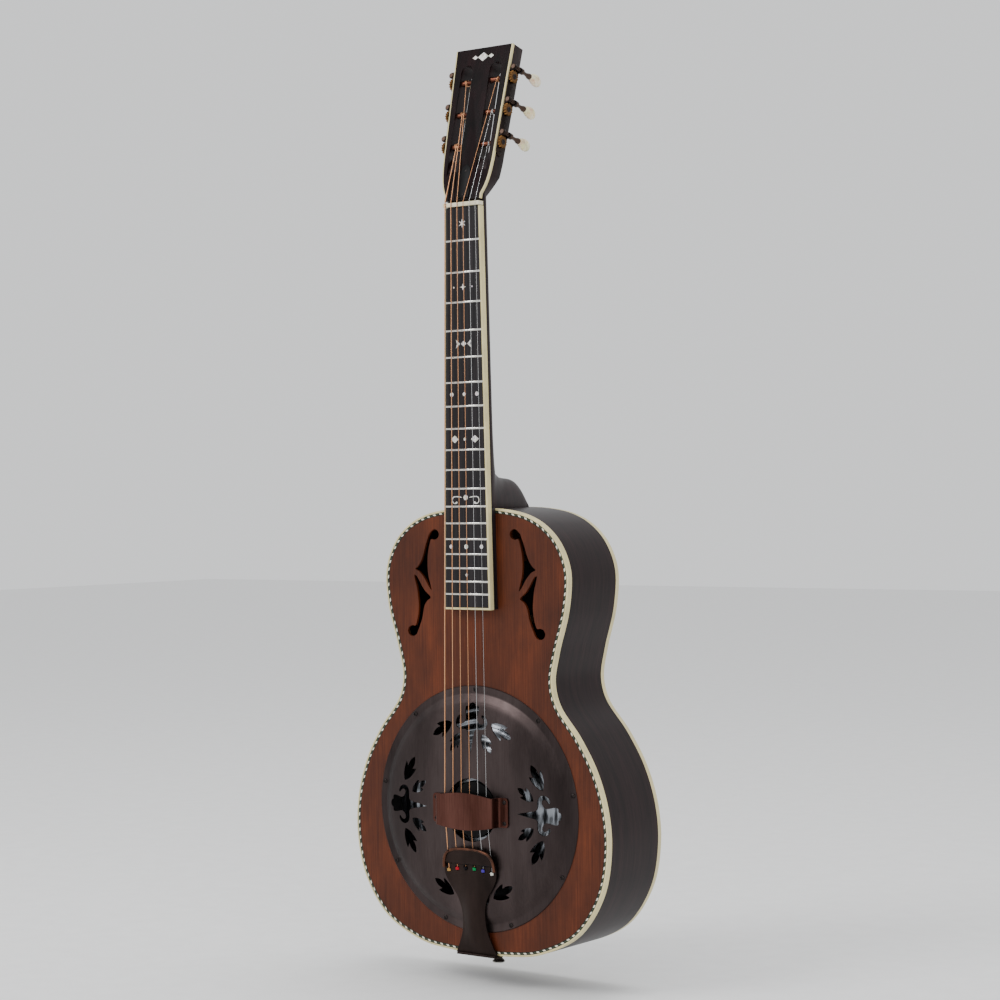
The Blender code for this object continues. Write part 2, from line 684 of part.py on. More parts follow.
def build_fingerboard():
    top, under = BOARD_Y, BOARD_Y + BOARD_THICK
    start, end = NUT_Z - GAP, BOARD_END_Z
    profile = [(under, start), (top, start)]
    for number in range(1, FRET_COUNT + 1):
        z = fret_z(number)
        profile += [(top, z + FRET_WIDE / 2), (top - FRET_HIGH, z + FRET_WIDE / 5),
                    (top - FRET_HIGH, z - FRET_WIDE / 5), (top, z - FRET_WIDE / 2)]
    wood_end = end + EDGE_TRIM + GAP
    profile += [(top, wood_end), (under, wood_end)]
    edge = EDGE_TRIM + GAP
    sides = [[(side * (neck_half(z) - edge), y, z) for y, z in profile] for side in (-1, 1)]
    add_piece("fingerboard", loft(sides), ("ebony", EBONY, 0.45))
    strips = []
    for trim in (0.0, EDGE_TRIM):
        strips.append([(neck_half(start) - trim, start), (neck_half(end) - trim, end + trim),
                       (trim - neck_half(end), end + trim), (trim - neck_half(start), start)])
    add_piece("fingerboard_binding", band(*strips, top, under, closed=False), ("cream_binding", CREAM, 0.4))
    riser_top = BODY_TOP_Z - GAP
    riser = [(neck_half(riser_top), riser_top), (neck_half(end), end + 0.5),
             (-neck_half(end), end + 0.5), (-neck_half(riser_top), riser_top)]
    add_piece("fingerboard_riser", slab(riser, under + GAP, -GAP), ("ebony", EBONY, 0.45))
    nut = box((-NUT_HALF, NUT_STRING_Y + GAP, NUT_Z + GAP), (NUT_HALF, under, NUT_Z + NUT_THICK))
    add_piece("nut", nut, ("nut_bone", BONE, 0.4))


# ---------------------------------------------------------------- tuners and strings

def build_tuner_plate(head, side, name):
    """A side strip with two ears for each worm shaft."""
    section = ((0, PLATE_FRONT), (PLATE_THICK, PLATE_FRONT), (PLATE_THICK, PLATE_BACK), (0, PLATE_BACK))
    rows = [[(side * (edge_x(z) + GAP + x), y, z) for x, y in section] for z in (PLATE_LOW, PLATE_HIGH)]
    plate = add_piece(f"tuner_plate_{name}", loft(rows), ("dark_bronze", DARK_COPPER, 0.5, 1.0), parent=head)
    ears = bmesh.new()
    bores = bmesh.new()
    for row in POST_ROWS:
        x, z = worm_x(row), row + WORM_RISE
        for y in EAR_DEPTHS:
            root = (side * (edge_x(z) + GAP + 0.5), y, z - EAR_HALF)
            tip = (side * (x + 3.0), y + EAR_THICK, z + EAR_HALF)
            add_box(ears, *sorted_corners(root, tip))
        add_rod(bores, (side * x, -1, z), (side * x, 20, z), EAR_BORE, 12)
        add_rod(bores, (side * 25, POST_DEEP, row), (side * 45, POST_DEEP, row), POST_RADIUS + GAP, 14)
    combine(plate, add_piece(f"add_ears_{name}", ears, parent=head), "UNION")
    combine(plate, add_piece(f"cut_ears_{name}", bores, parent=head))


def sorted_corners(one, other):
    """The low and high corners of the box between two opposite corners."""
    low = tuple(min(a, b) for a, b in zip(one, other))
    high = tuple(max(a, b) for a, b in zip(one, other))
    return low, high


def worm_x(row):
    return edge_x(row) + WORM_OUT


def gear_outline():
    points = []
    for tooth in range(GEAR_TEETH):
        for part, radius in ((0.0, GEAR_RADIUS), (0.5, 5.6)):
            angle = math.tau * (tooth + part) / GEAR_TEETH
            points.append((radius, angle))
    return points


def build_post(head, side, row, name):
    """Post and gear wheel turning as one, about an axis across the headstock."""
    x_in, x_gear = 6.5, edge_x(row) + GAP + PLATE_THICK + 0.6
    place = Matrix.Translation((0, POST_DEEP, row))
    bar = rod((side * x_in, 0, 0), (side * (x_gear + 1.0), 0, 0), POST_RADIUS, 14)
    post = add_piece(f"tuner_post_{name}", bar, ("tuner_copper", COPPER, 0.35, 1.0), place, head, smooth=True)
    faces = [[(side * x, radius * math.sin(a), radius * math.cos(a)) for radius, a in gear_outline()]
             for x in (x_gear, x_gear + GEAR_THICK)]
    combine(post, add_piece(f"add_gear_{name}", loft(faces), place=place, parent=head), "UNION")


def build_worm(head, side, row, name):
    """Worm shaft along the headstock's thickness, with its button behind."""
    place = Matrix.Translation((side * worm_x(row), 0, row + WORM_RISE))
    shaft = [(0, 0.8), (2.6, 0.8), (2.6, 1.7), (1.5, 1.7), (1.5, 4.5), (WORM_RADIUS, 4.5),
             (WORM_RADIUS, 12.3), (1.5, 12.3), (1.5, 15.1), (3.3, 15.1), (3.3, 18.5), (2.2, 19.5),
             (2.2, 26.0), (3.2, 31.0), (0, 31.0)]
    add_piece(f"worm_shaft_{name}", turned(shaft, closed=False, steps=10),
              ("tuner_copper", COPPER, 0.35, 1.0), place, head, smooth=True)
    button = [(0, 31.3), (3.4, 31.3), (5.6, 35.5), (6.6, 41.0), (5.4, 46.8), (2.6, 49.6), (0, 50.0)]
    bm = turned(button, closed=False, steps=12)
    bmesh.ops.scale(bm, vec=(0.72, 1.0, 1.15), verts=bm.verts)
    add_piece(f"tuning_button_{name}", bm, ("pearl_button", PEARL, 0.25), place, head, smooth=True)


def build_string(name, radius, position, row, post_x, head_matrix):
    """One string from its tailpiece hole, over saddle and nut, to its post."""
    side = -1 if position < 0 else 1
    saddle = Vector((position * SADDLE_PITCH / 2, SADDLE_STRING_Y - radius, SADDLE_Z))
    nut = Vector((position * NUT_PITCH / 2, NUT_STRING_Y - radius, NUT_Z))
    nut_end = nut + Vector((0, 0, NUT_THICK + GAP))
    anchor = tail_place() @ Vector((position * TAIL_PITCH / 2, -TAIL_THICK / 2, tail_hole_s(position)))
    over = POST_DEEP - POST_RADIUS - radius - GAP
    post = head_matrix @ Vector((side * post_x, over, POST_ROWS[row]))
    points = [anchor]
    for start, end, count in ((anchor, saddle, 3), (saddle, nut, 3), (nut, nut_end, 1), (nut_end, post, 2)):
        points += [start.lerp(end, step / count) for step in range(1, count + 1)]
    curve = bpy.data.curves.new(f"string_{name}", "CURVE")
    curve.dimensions = "3D"
    curve.bevel_depth = radius * MM
    curve.bevel_resolution = 1
    curve.use_fill_caps = True
    spline = curve.splines.new("POLY")
    spline.points.add(len(points) - 1)
    for spot, point in zip(spline.points, points):
        spot.co = (*(point * MM), 1.0)
    curve.materials.append(material("wound_bronze", BRONZE, 0.3, 1.0) if radius > 0.3
                           else material("plain_steel", STEEL, 0.25, 1.0))
    bpy.context.scene.collection.objects.link(bpy.data.objects.new(f"string_{name}", curve))


def main():
    for old in list(bpy.data.objects):
        bpy.data.objects.remove(old)
    build_soundboard()
    build_shell()
    build_linings()
    build_blocks()
    build_resonator()
    build_hand_rest()
    build_tailpiece()
    build_strap_button()

    head = bpy.data.objects.new("headstock_frame", None)
    bpy.context.scene.collection.objects.link(head)
    head_matrix = Matrix.Translation((0, BOARD_Y, HEAD_Z)) @ Matrix.Rotation(-HEAD_TILT, 4, "X")
    head.matrix_world = in_metres(head_matrix)
    build_headstock(head, build_neck(head))
    build_fingerboard()
    for side, name in ((-1, "bass"), (1, "treble")):
        build_tuner_plate(head, side, name)
    for name, radius, position, row, post_x in STRINGS:
        side = -1 if position < 0 else 1
        build_post(head, side, POST_ROWS[row], name)
        build_worm(head, side, POST_ROWS[row], name)
        build_string(name, radius, position, row, post_x, head_matrix)


main()
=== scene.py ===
"""The visible finish of a resonator guitar, modelled round its packed frame.

+Z runs up the neck, the strings face -Y and +X is the treble side. Shapes are drawn in
millimetres, as an instrument maker writes them down, and make_piece turns them into metres.
"""
import math

import bmesh
import bpy
from bpy.props import FloatProperty, FloatVectorProperty, PointerProperty
from mathutils import Matrix, Vector


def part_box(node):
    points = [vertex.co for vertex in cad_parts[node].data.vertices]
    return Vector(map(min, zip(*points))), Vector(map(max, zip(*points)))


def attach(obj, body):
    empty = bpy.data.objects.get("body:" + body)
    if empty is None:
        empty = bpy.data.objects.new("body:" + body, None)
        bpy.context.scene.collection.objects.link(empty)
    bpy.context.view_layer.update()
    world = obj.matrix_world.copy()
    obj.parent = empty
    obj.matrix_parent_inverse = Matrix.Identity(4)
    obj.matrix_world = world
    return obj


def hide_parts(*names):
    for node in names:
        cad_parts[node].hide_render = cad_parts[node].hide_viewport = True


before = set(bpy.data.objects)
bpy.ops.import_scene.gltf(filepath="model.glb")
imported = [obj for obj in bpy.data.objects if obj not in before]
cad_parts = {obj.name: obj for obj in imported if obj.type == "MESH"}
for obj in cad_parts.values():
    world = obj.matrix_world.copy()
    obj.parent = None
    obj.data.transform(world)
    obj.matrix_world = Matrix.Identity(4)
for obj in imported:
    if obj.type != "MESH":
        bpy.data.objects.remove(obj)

bl_info = {
    "name": "Resonator Guitar",
    "version": (1, 0, 0),
    "blender": (4, 5, 0),
    "location": "View3D > Sidebar > Guitar",
    "description": "Models and finishes a wooden resonator guitar round its frame",
    "category": "Object",
}

MM = 0.001
BODY = "guitar"


def span(node):
    """A frame node's lowest and highest corner, in millimetres."""
    low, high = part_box(node)
    return Vector(low) / MM, Vector(high) / MM


def linear(code):
    """An sRGB hex colour as the linear RGBA that shaders take."""
    values = [int(code[i:i + 2], 16) / 255 for i in (1, 3, 5)]
    return (*[v / 12.92 if v <= 0.04045 else ((v + 0.055) / 1.055) ** 2.4 for v in values], 1.0)


def shade(colour, amount):
    """A linear colour made lighter or darker."""
    return (*[value * amount for value in colour[:3]], 1.0)


# ---------------------------------------------------------------- driving sizes, in millimetres

SCALE_LENGTH = 628.65
NUT_Z = -18.0
FRET_COUNT = 18
BOARD_Y = -13.4
BOARD_THICK = 6.5
BOARD_END_Z = NUT_Z - 422.7
NUT_HALF = 23.5
TWELFTH_HALF = 28.8
TRIM = 2.2                      # every binding strip's width
TOP_THICK = 3.0
SIDE_THICK = 2.2
BACK_THICK = 2.8
GLUE_GAP = 0.05                 # left between pieces that are glued together
WELDED = 0.0004                 # points closer than this are one point

BODY_TOP_Z = -333.8
BODY_BOTTOM_Z = -804.1
BODY_HALF = ((40.0, -335.9), (68.0, -341.8), (90.0, -352.8), (108.6, -371.6), (120.0, -400.0),
             (117.3, -439.9), (104.5, -484.0), (98.8, -514.0), (104.5, -537.5), (130.5, -571.0),
             (150.7, -605.5), (163.2, -645.0), (165.8, -685.0), (156.0, -731.0), (126.0, -773.5),
             (78.0, -797.3), (38.0, -803.0))
OUTLINE_STEPS = 10
UPPER_DEPTH = 92.0
BACK_SLOPE = 0.0202
BINDING_DEEP = 6.5
ROPE_WIDE = 3.0

COVER_LOW, COVER_HIGH = span("cover_plate")
CONE_Z = (COVER_LOW.z + COVER_HIGH.z) / 2
COVER_RADIUS = COVER_HIGH.x
COVER_HOLE = 33.0
COVER_FACE = ((33.0, -11.0), (54.0, -11.0), (82.0, -9.7), (104.0, -7.2), (113.0, -5.4), (118.5, -3.0),
              (121.5, -1.6), (124.0, -1.3), (130.0, -1.3))
SCREW_CIRCLE = 126.0
COVER_SCREWS = 9

HEAD_TILT = math.radians(14.5)
HEAD_Z = NUT_Z + 5.0
HEAD_LENGTH = 173.4
HEAD_THICK = 18.0
VENEER = 1.5
HEAD_SIDE = ((24.0, 2.4), (24.0, 8.0), (28.0, 16.5), (31.0, 28.0), (33.0, 45.0), (37.5, HEAD_LENGTH))
HEAD_EDGING = 1.5
SLOT_X = 18.9
SLOT_HALF = 7.6
SLOT_LOW = 47.0
SLOT_HIGH = 155.0

POST_ROWS = (65.0, 101.0, 137.5)
POST_DEEP = 6.2
POST_RADIUS = 3.2
POST_WAIST = 2.75               # where the string winds on
GEAR_TEETH = 14
WORM_RISE = 10.0
WORM_OUT = 5.0

# name, radius, place from -5 to 5 across the neck, post row, place along the post
STRINGS = (("low_e", 0.68, -5, 0, 21.5), ("a", 0.53, -3, 1, 20.0), ("d", 0.41, -1, 2, 21.0),
           ("g", 0.33, 1, 2, 21.0), ("b", 0.22, 3, 1, 20.0), ("high_e", 0.16, 5, 0, 21.5))
NUT_PITCH = 7.88
SADDLE_PITCH = 10.9
TAIL_PITCH = 11.3
NUT_STRING_Y = -16.3
SADDLE_STRING_Y = -20.0
SADDLE_Z = NUT_Z - 632.0

TAIL_HINGE_Y = -2.6
TAIL_HINGE_Z = -803.4
TAIL_RISE = math.atan(0.110)
TAIL_THICK = 1.5
TAIL_LIP = 2.2
TAIL_SIDE = ((27.0, 0.0), (21.0, 12.0), (16.0, 26.0), (15.0, 45.0), (19.0, 60.0), (28.5, 74.0),
             (33.4, 84.0), (34.0, 92.0), (33.9, 95.0), (33.6, 98.0), (32.0, 104.0), (28.0, 108.8),
             (21.0, 111.8), (11.0, 113.2), (1.0, 113.5))
# how far the plate's middle is arched and how far its whole width is raised, by height
TAIL_ARCH = ((0.0, 0.0), (14.0, 2.6), (28.0, 3.8), (50.0, 3.6), (66.0, 2.2), (84.0, 0.0), (120.0, 0.0))
TAIL_STEP = ((0.0, 0.0), (94.0, 0.0), (95.5, 0.3), (97.2, 1.9), (98.2, TAIL_LIP), (103.0, 1.7), (107.0, 1.8),
             (120.0, TAIL_LIP))
TAIL_HOLE_S = 91.5
BALL_RADIUS = 2.4
STRAP_BUTTON_Y = 34.0

HEAD = Matrix.Translation((0, BOARD_Y, HEAD_Z)) @ Matrix.Rotation(-HEAD_TILT, 4, "X")
TAIL = Matrix.Translation((0, TAIL_HINGE_Y, TAIL_HINGE_Z)) @ Matrix.Rotation(TAIL_RISE, 4, "X")
COVER = Matrix.Translation((0, 0, CONE_Z))
# lays a shape drawn in (x, z) against the tail end, with its z running along +Y
TAIL_END = (Matrix.Translation((0, 0, BODY_BOTTOM_Z - 0.3))
            @ Matrix(((1, 0, 0, 0), (0, 0, 1, 0), (0, -1, 0, 0), (0, 0, 0, 1))))


# ---------------------------------------------------------------- outlines

def smooth_points(points, steps, closed):
    """Points on a centripetal Catmull-Rom curve through the given ones, in any dimension."""
    points = [tuple(p) for p in points]
    count = len(points)

    def between(a, b, t):
        return tuple(u + (v - u) * t for u, v in zip(a, b))

    found = []
    for index in range(count if closed else count - 1):
        near = [index - 1, index, index + 1, index + 2]
        near = [i % count if closed else min(max(i, 0), count - 1) for i in near]
        before, start, end, after = (points[i] for i in near)
        if before == start:
            before = between(end, start, 2.0)
        if after == end:
            after = between(start, end, 2.0)
        knots = [0.0]
        for a, b in ((before, start), (start, end), (end, after)):
            knots.append(knots[-1] + math.sqrt(math.dist(a, b)))
        for step in range(steps):
            t = knots[1] + (knots[2] - knots[1]) * step / steps
            a1 = between(before, start, t / knots[1])
            a2 = between(start, end, (t - knots[1]) / (knots[2] - knots[1]))
            a3 = between(end, after, (t - knots[2]) / (knots[3] - knots[2]))
            b1 = between(a1, a2, t / knots[2])
            b2 = between(a2, a3, (t - knots[1]) / (knots[3] - knots[1]))
            found.append(between(b1, b2, (t - knots[1]) / (knots[2] - knots[1])))
    if not closed:
        found.append(points[-1])
    return found


def mirrored(half):
    """A closed outline from the points of its +X half."""
    return [tuple(p) for p in half] + [(-x, z) for x, z in reversed(half)]


def inset(loop, distance):
    """A closed outline moved sideways, towards its middle for a positive distance."""
    points = [Vector(p) for p in loop]
    area = sum(a.x * b.y - b.x * a.y for a, b in zip(points, points[1:] + points[:1]))
    turn = 1.0 if area > 0 else -1.0
    moved = []
    for index, point in enumerate(points):
        along = (points[(index + 1) % len(points)] - points[index - 1]).normalized()
        moved.append(point + Vector((-along.y, along.x)) * turn * distance)
    return moved


def body_outline(distance=0.0):
    """The body's closed outline from the top centre, moved inwards by a distance."""
    half = [(0.0, BODY_TOP_Z), *BODY_HALF, (0.0, BODY_BOTTOM_Z)]
    whole = half + [(-x, z) for x, z in reversed(half[1:-1])]
    return inset(smooth_points(whole, OUTLINE_STEPS, closed=True), distance)


def back_y(z):
    """Depth of the back at a height."""
    return UPPER_DEPTH + (BODY_TOP_Z - z) * BACK_SLOPE


def neck_half(z):
    """Half the fingerboard's width at a height on the neck."""
    return NUT_HALF + (TWELFTH_HALF - NUT_HALF) * (NUT_Z - z) / (SCALE_LENGTH / 2)


def fret_z(number):
    """Height of a fret, by the twelfth root of two."""
    return NUT_Z - SCALE_LENGTH * (1 - 2 ** (-number / 12))


def edge_x(height):
    """Half the headstock's width at a height on its straight upper part."""
    (x1, z1), (x2, z2) = HEAD_SIDE[-2:]
    return x1 + (x2 - x1) * (height - z1) / (z2 - z1)


def head_side():
    """The treble edge of the headstock, from the nut to its top."""
    return [HEAD_SIDE[0], *smooth_points(HEAD_SIDE[1:-1], 8, closed=False), HEAD_SIDE[-1]]


def head_outline(distance=0.0):
    """The headstock's closed outline, with its sides moved inwards."""
    return mirrored([(x - distance, z) for x, z in head_side()])


def stadium(x, low, high, half, steps=12):
    """An upright slot outline with round ends."""
    points = []
    for centre, start in ((high - half, 0.0), (low + half, math.pi)):
        for step in range(steps + 1):
            angle = start + math.pi * step / steps
            points.append((x + half * math.cos(angle), centre + half * math.sin(angle)))
    return points


def circle(x, z, radius, steps=24):
    return [(x + radius * math.cos(math.tau * i / steps), z + radius * math.sin(math.tau * i / steps))
            for i in range(steps)]


def arcs(pieces, steps=6):
    """An outline from quadratic curves, each given as (start, control, end)."""
    points = []
    for start, control, end in pieces:
        for step in range(steps):
            t = step / steps
            points.append(tuple((1 - t) ** 2 * a + 2 * t * (1 - t) * b + t * t * c
                                for a, b, c in zip(start, control, end)))
    return points


def ribbon(points, widths):
    """The outline of a flat strip along a path, from its half width at each point."""
    points = [Vector(p) for p in points]
    left, right = [], []
    for index, (point, width) in enumerate(zip(points, widths)):
        along = (points[min(index + 1, len(points) - 1)] - points[max(index - 1, 0)]).normalized()
        aside = Vector((-along.y, along.x)) * width
        left.append(point + aside)
        right.append(point - aside)
    return left + right[::-1]


# ---------------------------------------------------------------- mesh tools

def flat_face(bm, points, y=0.0):
    """One face with the outline (x, z) at a depth."""
    return bm.faces.new([bm.verts.new((x, y, z)) for x, z in points])


def pierced_sheet(bm, outer, holes, y=0.0):
    """A flat sheet with holes, filled between its outlines."""
    edges = []
    for loop in (outer, *holes):
        verts = [bm.verts.new((x, y, z)) for x, z in loop]
        edges += [bm.edges.new(pair) for pair in zip(verts, verts[1:] + verts[:1])]
    bmesh.ops.triangle_fill(bm, use_beauty=True, use_dissolve=False, edges=edges)
    return bm.faces[:]


def thicken(bm, faces, depth):
    """Pull a solid of the given depth along +Y out of flat faces."""
    pulled = bmesh.ops.extrude_face_region(bm, geom=list(faces), use_keep_orig=True)
    moved = [item for item in pulled["geom"] if isinstance(item, bmesh.types.BMVert)]
    bmesh.ops.translate(bm, verts=moved, vec=(0, depth, 0))


def plate(points, front, back):
    """A solid plate with the outline (x, z) between two depths."""
    bm = bmesh.new()
    thicken(bm, [flat_face(bm, points, front)], back - front)
    return bm


def soften(bm, width, segments=2, sharper=35.0):
    """Round over every edge that turns more than an angle."""
    bmesh.ops.recalc_face_normals(bm, faces=bm.faces)
    limit = math.radians(sharper)
    edges = [e for e in bm.edges if len(e.link_faces) == 2 and e.calc_face_angle(0.0) > limit]
    bmesh.ops.bevel(bm, geom=edges, offset=width, offset_type="OFFSET", segments=segments, profile=0.5,
                    affect="EDGES", material=-1, clamp_overlap=True)
    return bm


def skin(rows, loop_rows=True, close_rows=False, cap=False, marks=None):
    """Sweep a row of points through the rows after it.

    Rows may be loops, and the last may meet the first. marks says, row by row, where each point
    lies in the drawing of its finish, which the finish reads as "place".
    """
    bm = bmesh.new()
    place = bm.verts.layers.float_vector.new("place") if marks else None
    ring = [bm.verts.new(point) for point in rows[0]]
    edges = [bm.edges.new(pair) for pair in zip(ring, ring[1:] + (ring[:1] if loop_rows else []))]
    if cap:
        bm.faces.new(ring)
    order = [*range(len(rows)), *([0] if close_rows else [])]
    for turn, index in enumerate(order):
        if turn:
            made = bmesh.ops.extrude_edge_only(bm, edges=edges)["geom"]
            fresh = {item for item in made if isinstance(item, bmesh.types.BMVert)}
            edges = [item for item in made
                     if isinstance(item, bmesh.types.BMEdge) and fresh.issuperset(item.verts)]
            ring = [next(edge.other_vert(vert) for edge in vert.link_edges if edge.other_vert(vert) in fresh)
                    for vert in ring]
        for number, vert in enumerate(ring):
            vert.co = rows[index][number]
            if marks:
                vert[place] = marks[index][number]
    if cap:
        bm.faces.new(ring)
    if close_rows:
        bmesh.ops.remove_doubles(bm, verts=bm.verts, dist=WELDED)
    return bm


def turned(profile, steps=96, closed=False):
    """Spin a profile of (radius, y) about the Y axis."""
    bm = bmesh.new()
    verts = [bm.verts.new((radius, y, 0.0)) for radius, y in profile]
    pairs = list(zip(verts, verts[1:])) + ([(verts[-1], verts[0])] if closed else [])
    edges = [bm.edges.new(pair) for pair in pairs]
    bmesh.ops.spin(bm, geom=verts + edges, axis=(0, 1, 0), cent=(0, 0, 0), angle=math.tau,
                   steps=steps, use_merge=True)
    bmesh.ops.remove_doubles(bm, verts=bm.verts, dist=0.0005)
    return bm


def tube(path, radius, sides=16):
    """A round bar along a path of points."""
    points = [Vector(p) for p in path]
    rows = []
    for index, point in enumerate(points):
        along = (points[min(index + 1, len(points) - 1)] - points[max(index - 1, 0)]).normalized()
        out = along.cross(Vector((1, 0, 0)) if abs(along.x) < 0.9 else Vector((0, 0, 1))).normalized()
        up = along.cross(out)
        rows.append([point + (out * math.cos(a) + up * math.sin(a)) * radius
                     for a in (math.tau * i / sides for i in range(sides))])
    return skin(rows, cap=True)


def bar(low, high):
    """A block between two corners."""
    bm = bmesh.new()
    low, high = Vector(low), Vector(high)
    place = Matrix.Translation((low + high) / 2) @ Matrix.Diagonal((*(high - low), 1.0))
    bmesh.ops.create_cube(bm, size=1.0, matrix=place)
    return bm


def placed(bm, place):
    """The same shape, moved to its place."""
    bm.transform(place)
    return bm


def gather(shapes):
    """Put several shapes into one bmesh."""
    whole = bmesh.new()
    for bm in shapes:
        holder = bpy.data.meshes.new("part")
        bm.to_mesh(holder)
        bm.free()
        whole.from_mesh(holder)
        bpy.data.meshes.remove(holder)
    return whole


def make_object(bm, name, place=None):
    """A mesh object at the origin, with its place in its mesh, in metres."""
    bmesh.ops.remove_doubles(bm, verts=bm.verts, dist=WELDED)
    bmesh.ops.recalc_face_normals(bm, faces=bm.faces)
    if place:
        bm.transform(place)
        if place.determinant() < 0:
            bmesh.ops.reverse_faces(bm, faces=bm.faces)
    bm.transform(Matrix.Scale(MM, 4))
    mesh = bpy.data.meshes.new(name)
    bm.to_mesh(mesh)
    bm.free()
    made = bpy.data.objects.new(name, mesh)
    bpy.context.scene.collection.objects.link(made)
    return made


def carve(piece, cutter, operation="DIFFERENCE"):
    """Cut one object by another, or join them, and keep the result as plain mesh."""
    change = piece.modifiers.new("carve", "BOOLEAN")
    change.operation = operation
    change.solver = "EXACT"
    change.object = cutter
    graph = bpy.context.evaluated_depsgraph_get()
    result = bpy.data.meshes.new_from_object(piece.evaluated_get(graph))
    if len(result.polygons) == 0:
        raise RuntimeError(f"nothing is left of {piece.name}")
    piece.modifiers.clear()
    old, piece.data = piece.data, result
    bpy.data.meshes.remove(old)
    result.name = piece.name
    bpy.data.objects.remove(cutter)


def settle(piece, material, slot, body=BODY, replaces=(), sharp=32.0):
    """Give a piece its finish and shading, and tie it to the frame."""
    piece.data.materials.clear()
    piece.data.materials.append(material)
    piece.data.shade_smooth()
    piece.data.set_sharp_from_angle(angle=math.radians(sharp))
    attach(piece, body)
    if replaces:
        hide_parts(*replaces)


def make_piece(bm, name, material, slot, place=None, **ties):
    """Turn a shape into a finished object of the guitar."""
    settle(make_object(bm, name, place), material, slot, **ties)


def dress_node(name, material):
    """Keep a frame node's own shape and give it a better finish."""
    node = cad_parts[name]
    node.data.materials.clear()
    node.data.materials.append(material)


# ---------------------------------------------------------------- finishes

def add_node(material, kind, inputs=None, stops=None, **settings):
    """Add a shader node with its settings; inputs hold values or the sockets that feed them.

    stops are a colour ramp's (position, colour) pairs, each colour a hex code or linear values.
    """
    tree = material.node_tree
    node = tree.nodes.new("ShaderNode" + kind)
    for key, value in settings.items():
        setattr(node, key, value)
    for key, value in (inputs or {}).items():
        if isinstance(value, bpy.types.NodeSocket):
            tree.links.new(value, node.inputs[key])
        else:
            node.inputs[key].default_value = value
    if stops:
        ramp = node.color_ramp
        while len(ramp.elements) < len(stops):
            ramp.elements.new(0.5)
        for element, (position, code) in zip(ramp.elements, stops):
            element.position = position
            element.color = linear(code) if isinstance(code, str) else code
    return node


def start_material(name, **values):
    """A material with its shader; values are the shader's own sockets by name."""
    material = bpy.data.materials.new(name)
    material.use_nodes = True
    shader = material.node_tree.nodes["Principled BSDF"]
    for key, value in values.items():
        shader.inputs[key.replace("_", " ")].default_value = value
    return material, shader


def feed(material, shader, **sockets):
    """Lead sockets into the shader's inputs by name."""
    for key, socket in sockets.items():
        material.node_tree.links.new(socket, shader.inputs[key.replace("_", " ")])


def here(material):
    """Where a point lies on the guitar, in metres."""
    return add_node(material, "TexCoord").outputs["Object"]


def ramp(material, source, *stops):
    """The colour that a pattern takes, from (position, colour) stops."""
    return add_node(material, "ValToRGB", {"Fac": source}, stops=stops).outputs["Color"]


def maths(material, operation, *values):
    """One step of arithmetic on values or on the sockets that give them."""
    return add_node(material, "Math", dict(enumerate(values)), operation=operation).outputs[0]


def spread(material, value, low, high, start, end):
    """A value that runs from low to high, stretched to run from start to end."""
    return add_node(material, "MapRange", {"Value": value, "From Min": low, "From Max": high,
                                           "To Min": start, "To Max": end}).outputs[0]


def streaks(material, size, stretch, axis=2, detail=4.0, source=None):
    """Noise drawn out along one axis: size is its width in millimetres, stretch its length in widths."""
    scale = [1.0 / (size * MM)] * 3
    scale[axis] /= stretch
    mapped = add_node(material, "Mapping", {"Vector": source or here(material), "Scale": scale}).outputs[0]
    return add_node(material, "TexNoise", {"Vector": mapped, "Scale": 1.0, "Detail": detail,
                                           "Roughness": 0.6}).outputs["Fac"]


def mixed(material, kind, factor, first, second):
    """Blend two colours or colour sockets."""
    node = add_node(material, "Mix", data_type="RGBA", blend_type=kind)
    for index, value in ((0, factor), (6, first), (7, second)):
        if isinstance(value, bpy.types.NodeSocket):
            material.node_tree.links.new(value, node.inputs[index])
        else:
            node.inputs[index].default_value = value
    return node.outputs[2]


def bumped(material, shader, height, strength, distance):
    """Raise the surface by a height pattern; distance is in millimetres."""
    bump = add_node(material, "Bump", {"Height": height, "Strength": strength, "Distance": distance * MM})
    feed(material, shader, Normal=bump.outputs["Normal"])


def stained_spruce(settings):
    """Spruce, stained red-brown and rubbed back: straight fine grain, cloudy where the stain took."""
    material, shader = start_material("stained_spruce_rubbed", Roughness=0.5, Specular_IOR_Level=0.22)
    stain = settings.top_stain
    grain = streaks(material, 1.6, 45)                 # growth rings 1.6 mm apart
    pores = streaks(material, 0.7, 30, detail=2.0)
    clouds = streaks(material, 38.0, 2.2, detail=6.0)
    base = ramp(material, clouds, (0.30, shade(stain, 0.62)), (0.50, tuple(stain)), (0.68, shade(stain, 1.5)))
    lines = ramp(material, grain, (0.35, "#9A7A6C"), (0.62, "#FFFFFF"))
    tone = mixed(material, "MULTIPLY", settings.grain_strength, base, lines)
    wear_and_shade = ramp(material, streaks(material, 9.0, 5, detail=6.0), (0.56, "#000000"), (0.76, "#4A4A4A"))
    feed(material, shader, Base_Color=mixed(material, "MIX", wear_and_shade, tone, linear("#240C08")))
    bumped(material, shader, pores, 0.25, 0.12)
    return material


def stained_mahogany(name, stain, source_name=None, axis=2):
    """Mahogany under a dark aubergine stain and satin lacquer, with short pores along the grain."""
    material, shader = start_material(name, Roughness=0.40, Specular_IOR_Level=0.17)
    source = None
    if source_name:
        source = add_node(material, "Attribute", attribute_name=source_name).outputs["Vector"]
    figure = streaks(material, 7.0, 22, axis, source=source)
    pores = streaks(material, 0.9, 28, axis, detail=2.0, source=source)
    base = ramp(material, figure, (0.32, shade(stain, 0.6)), (0.70, shade(stain, 1.7)))
    fine = ramp(material, pores, (0.38, "#8A7A78"), (0.60, "#FFFFFF"))
    feed(material, shader, Base_Color=mixed(material, "MULTIPLY", 0.75, base, fine))
    bumped(material, shader, pores, 0.2, 0.08)
    return material


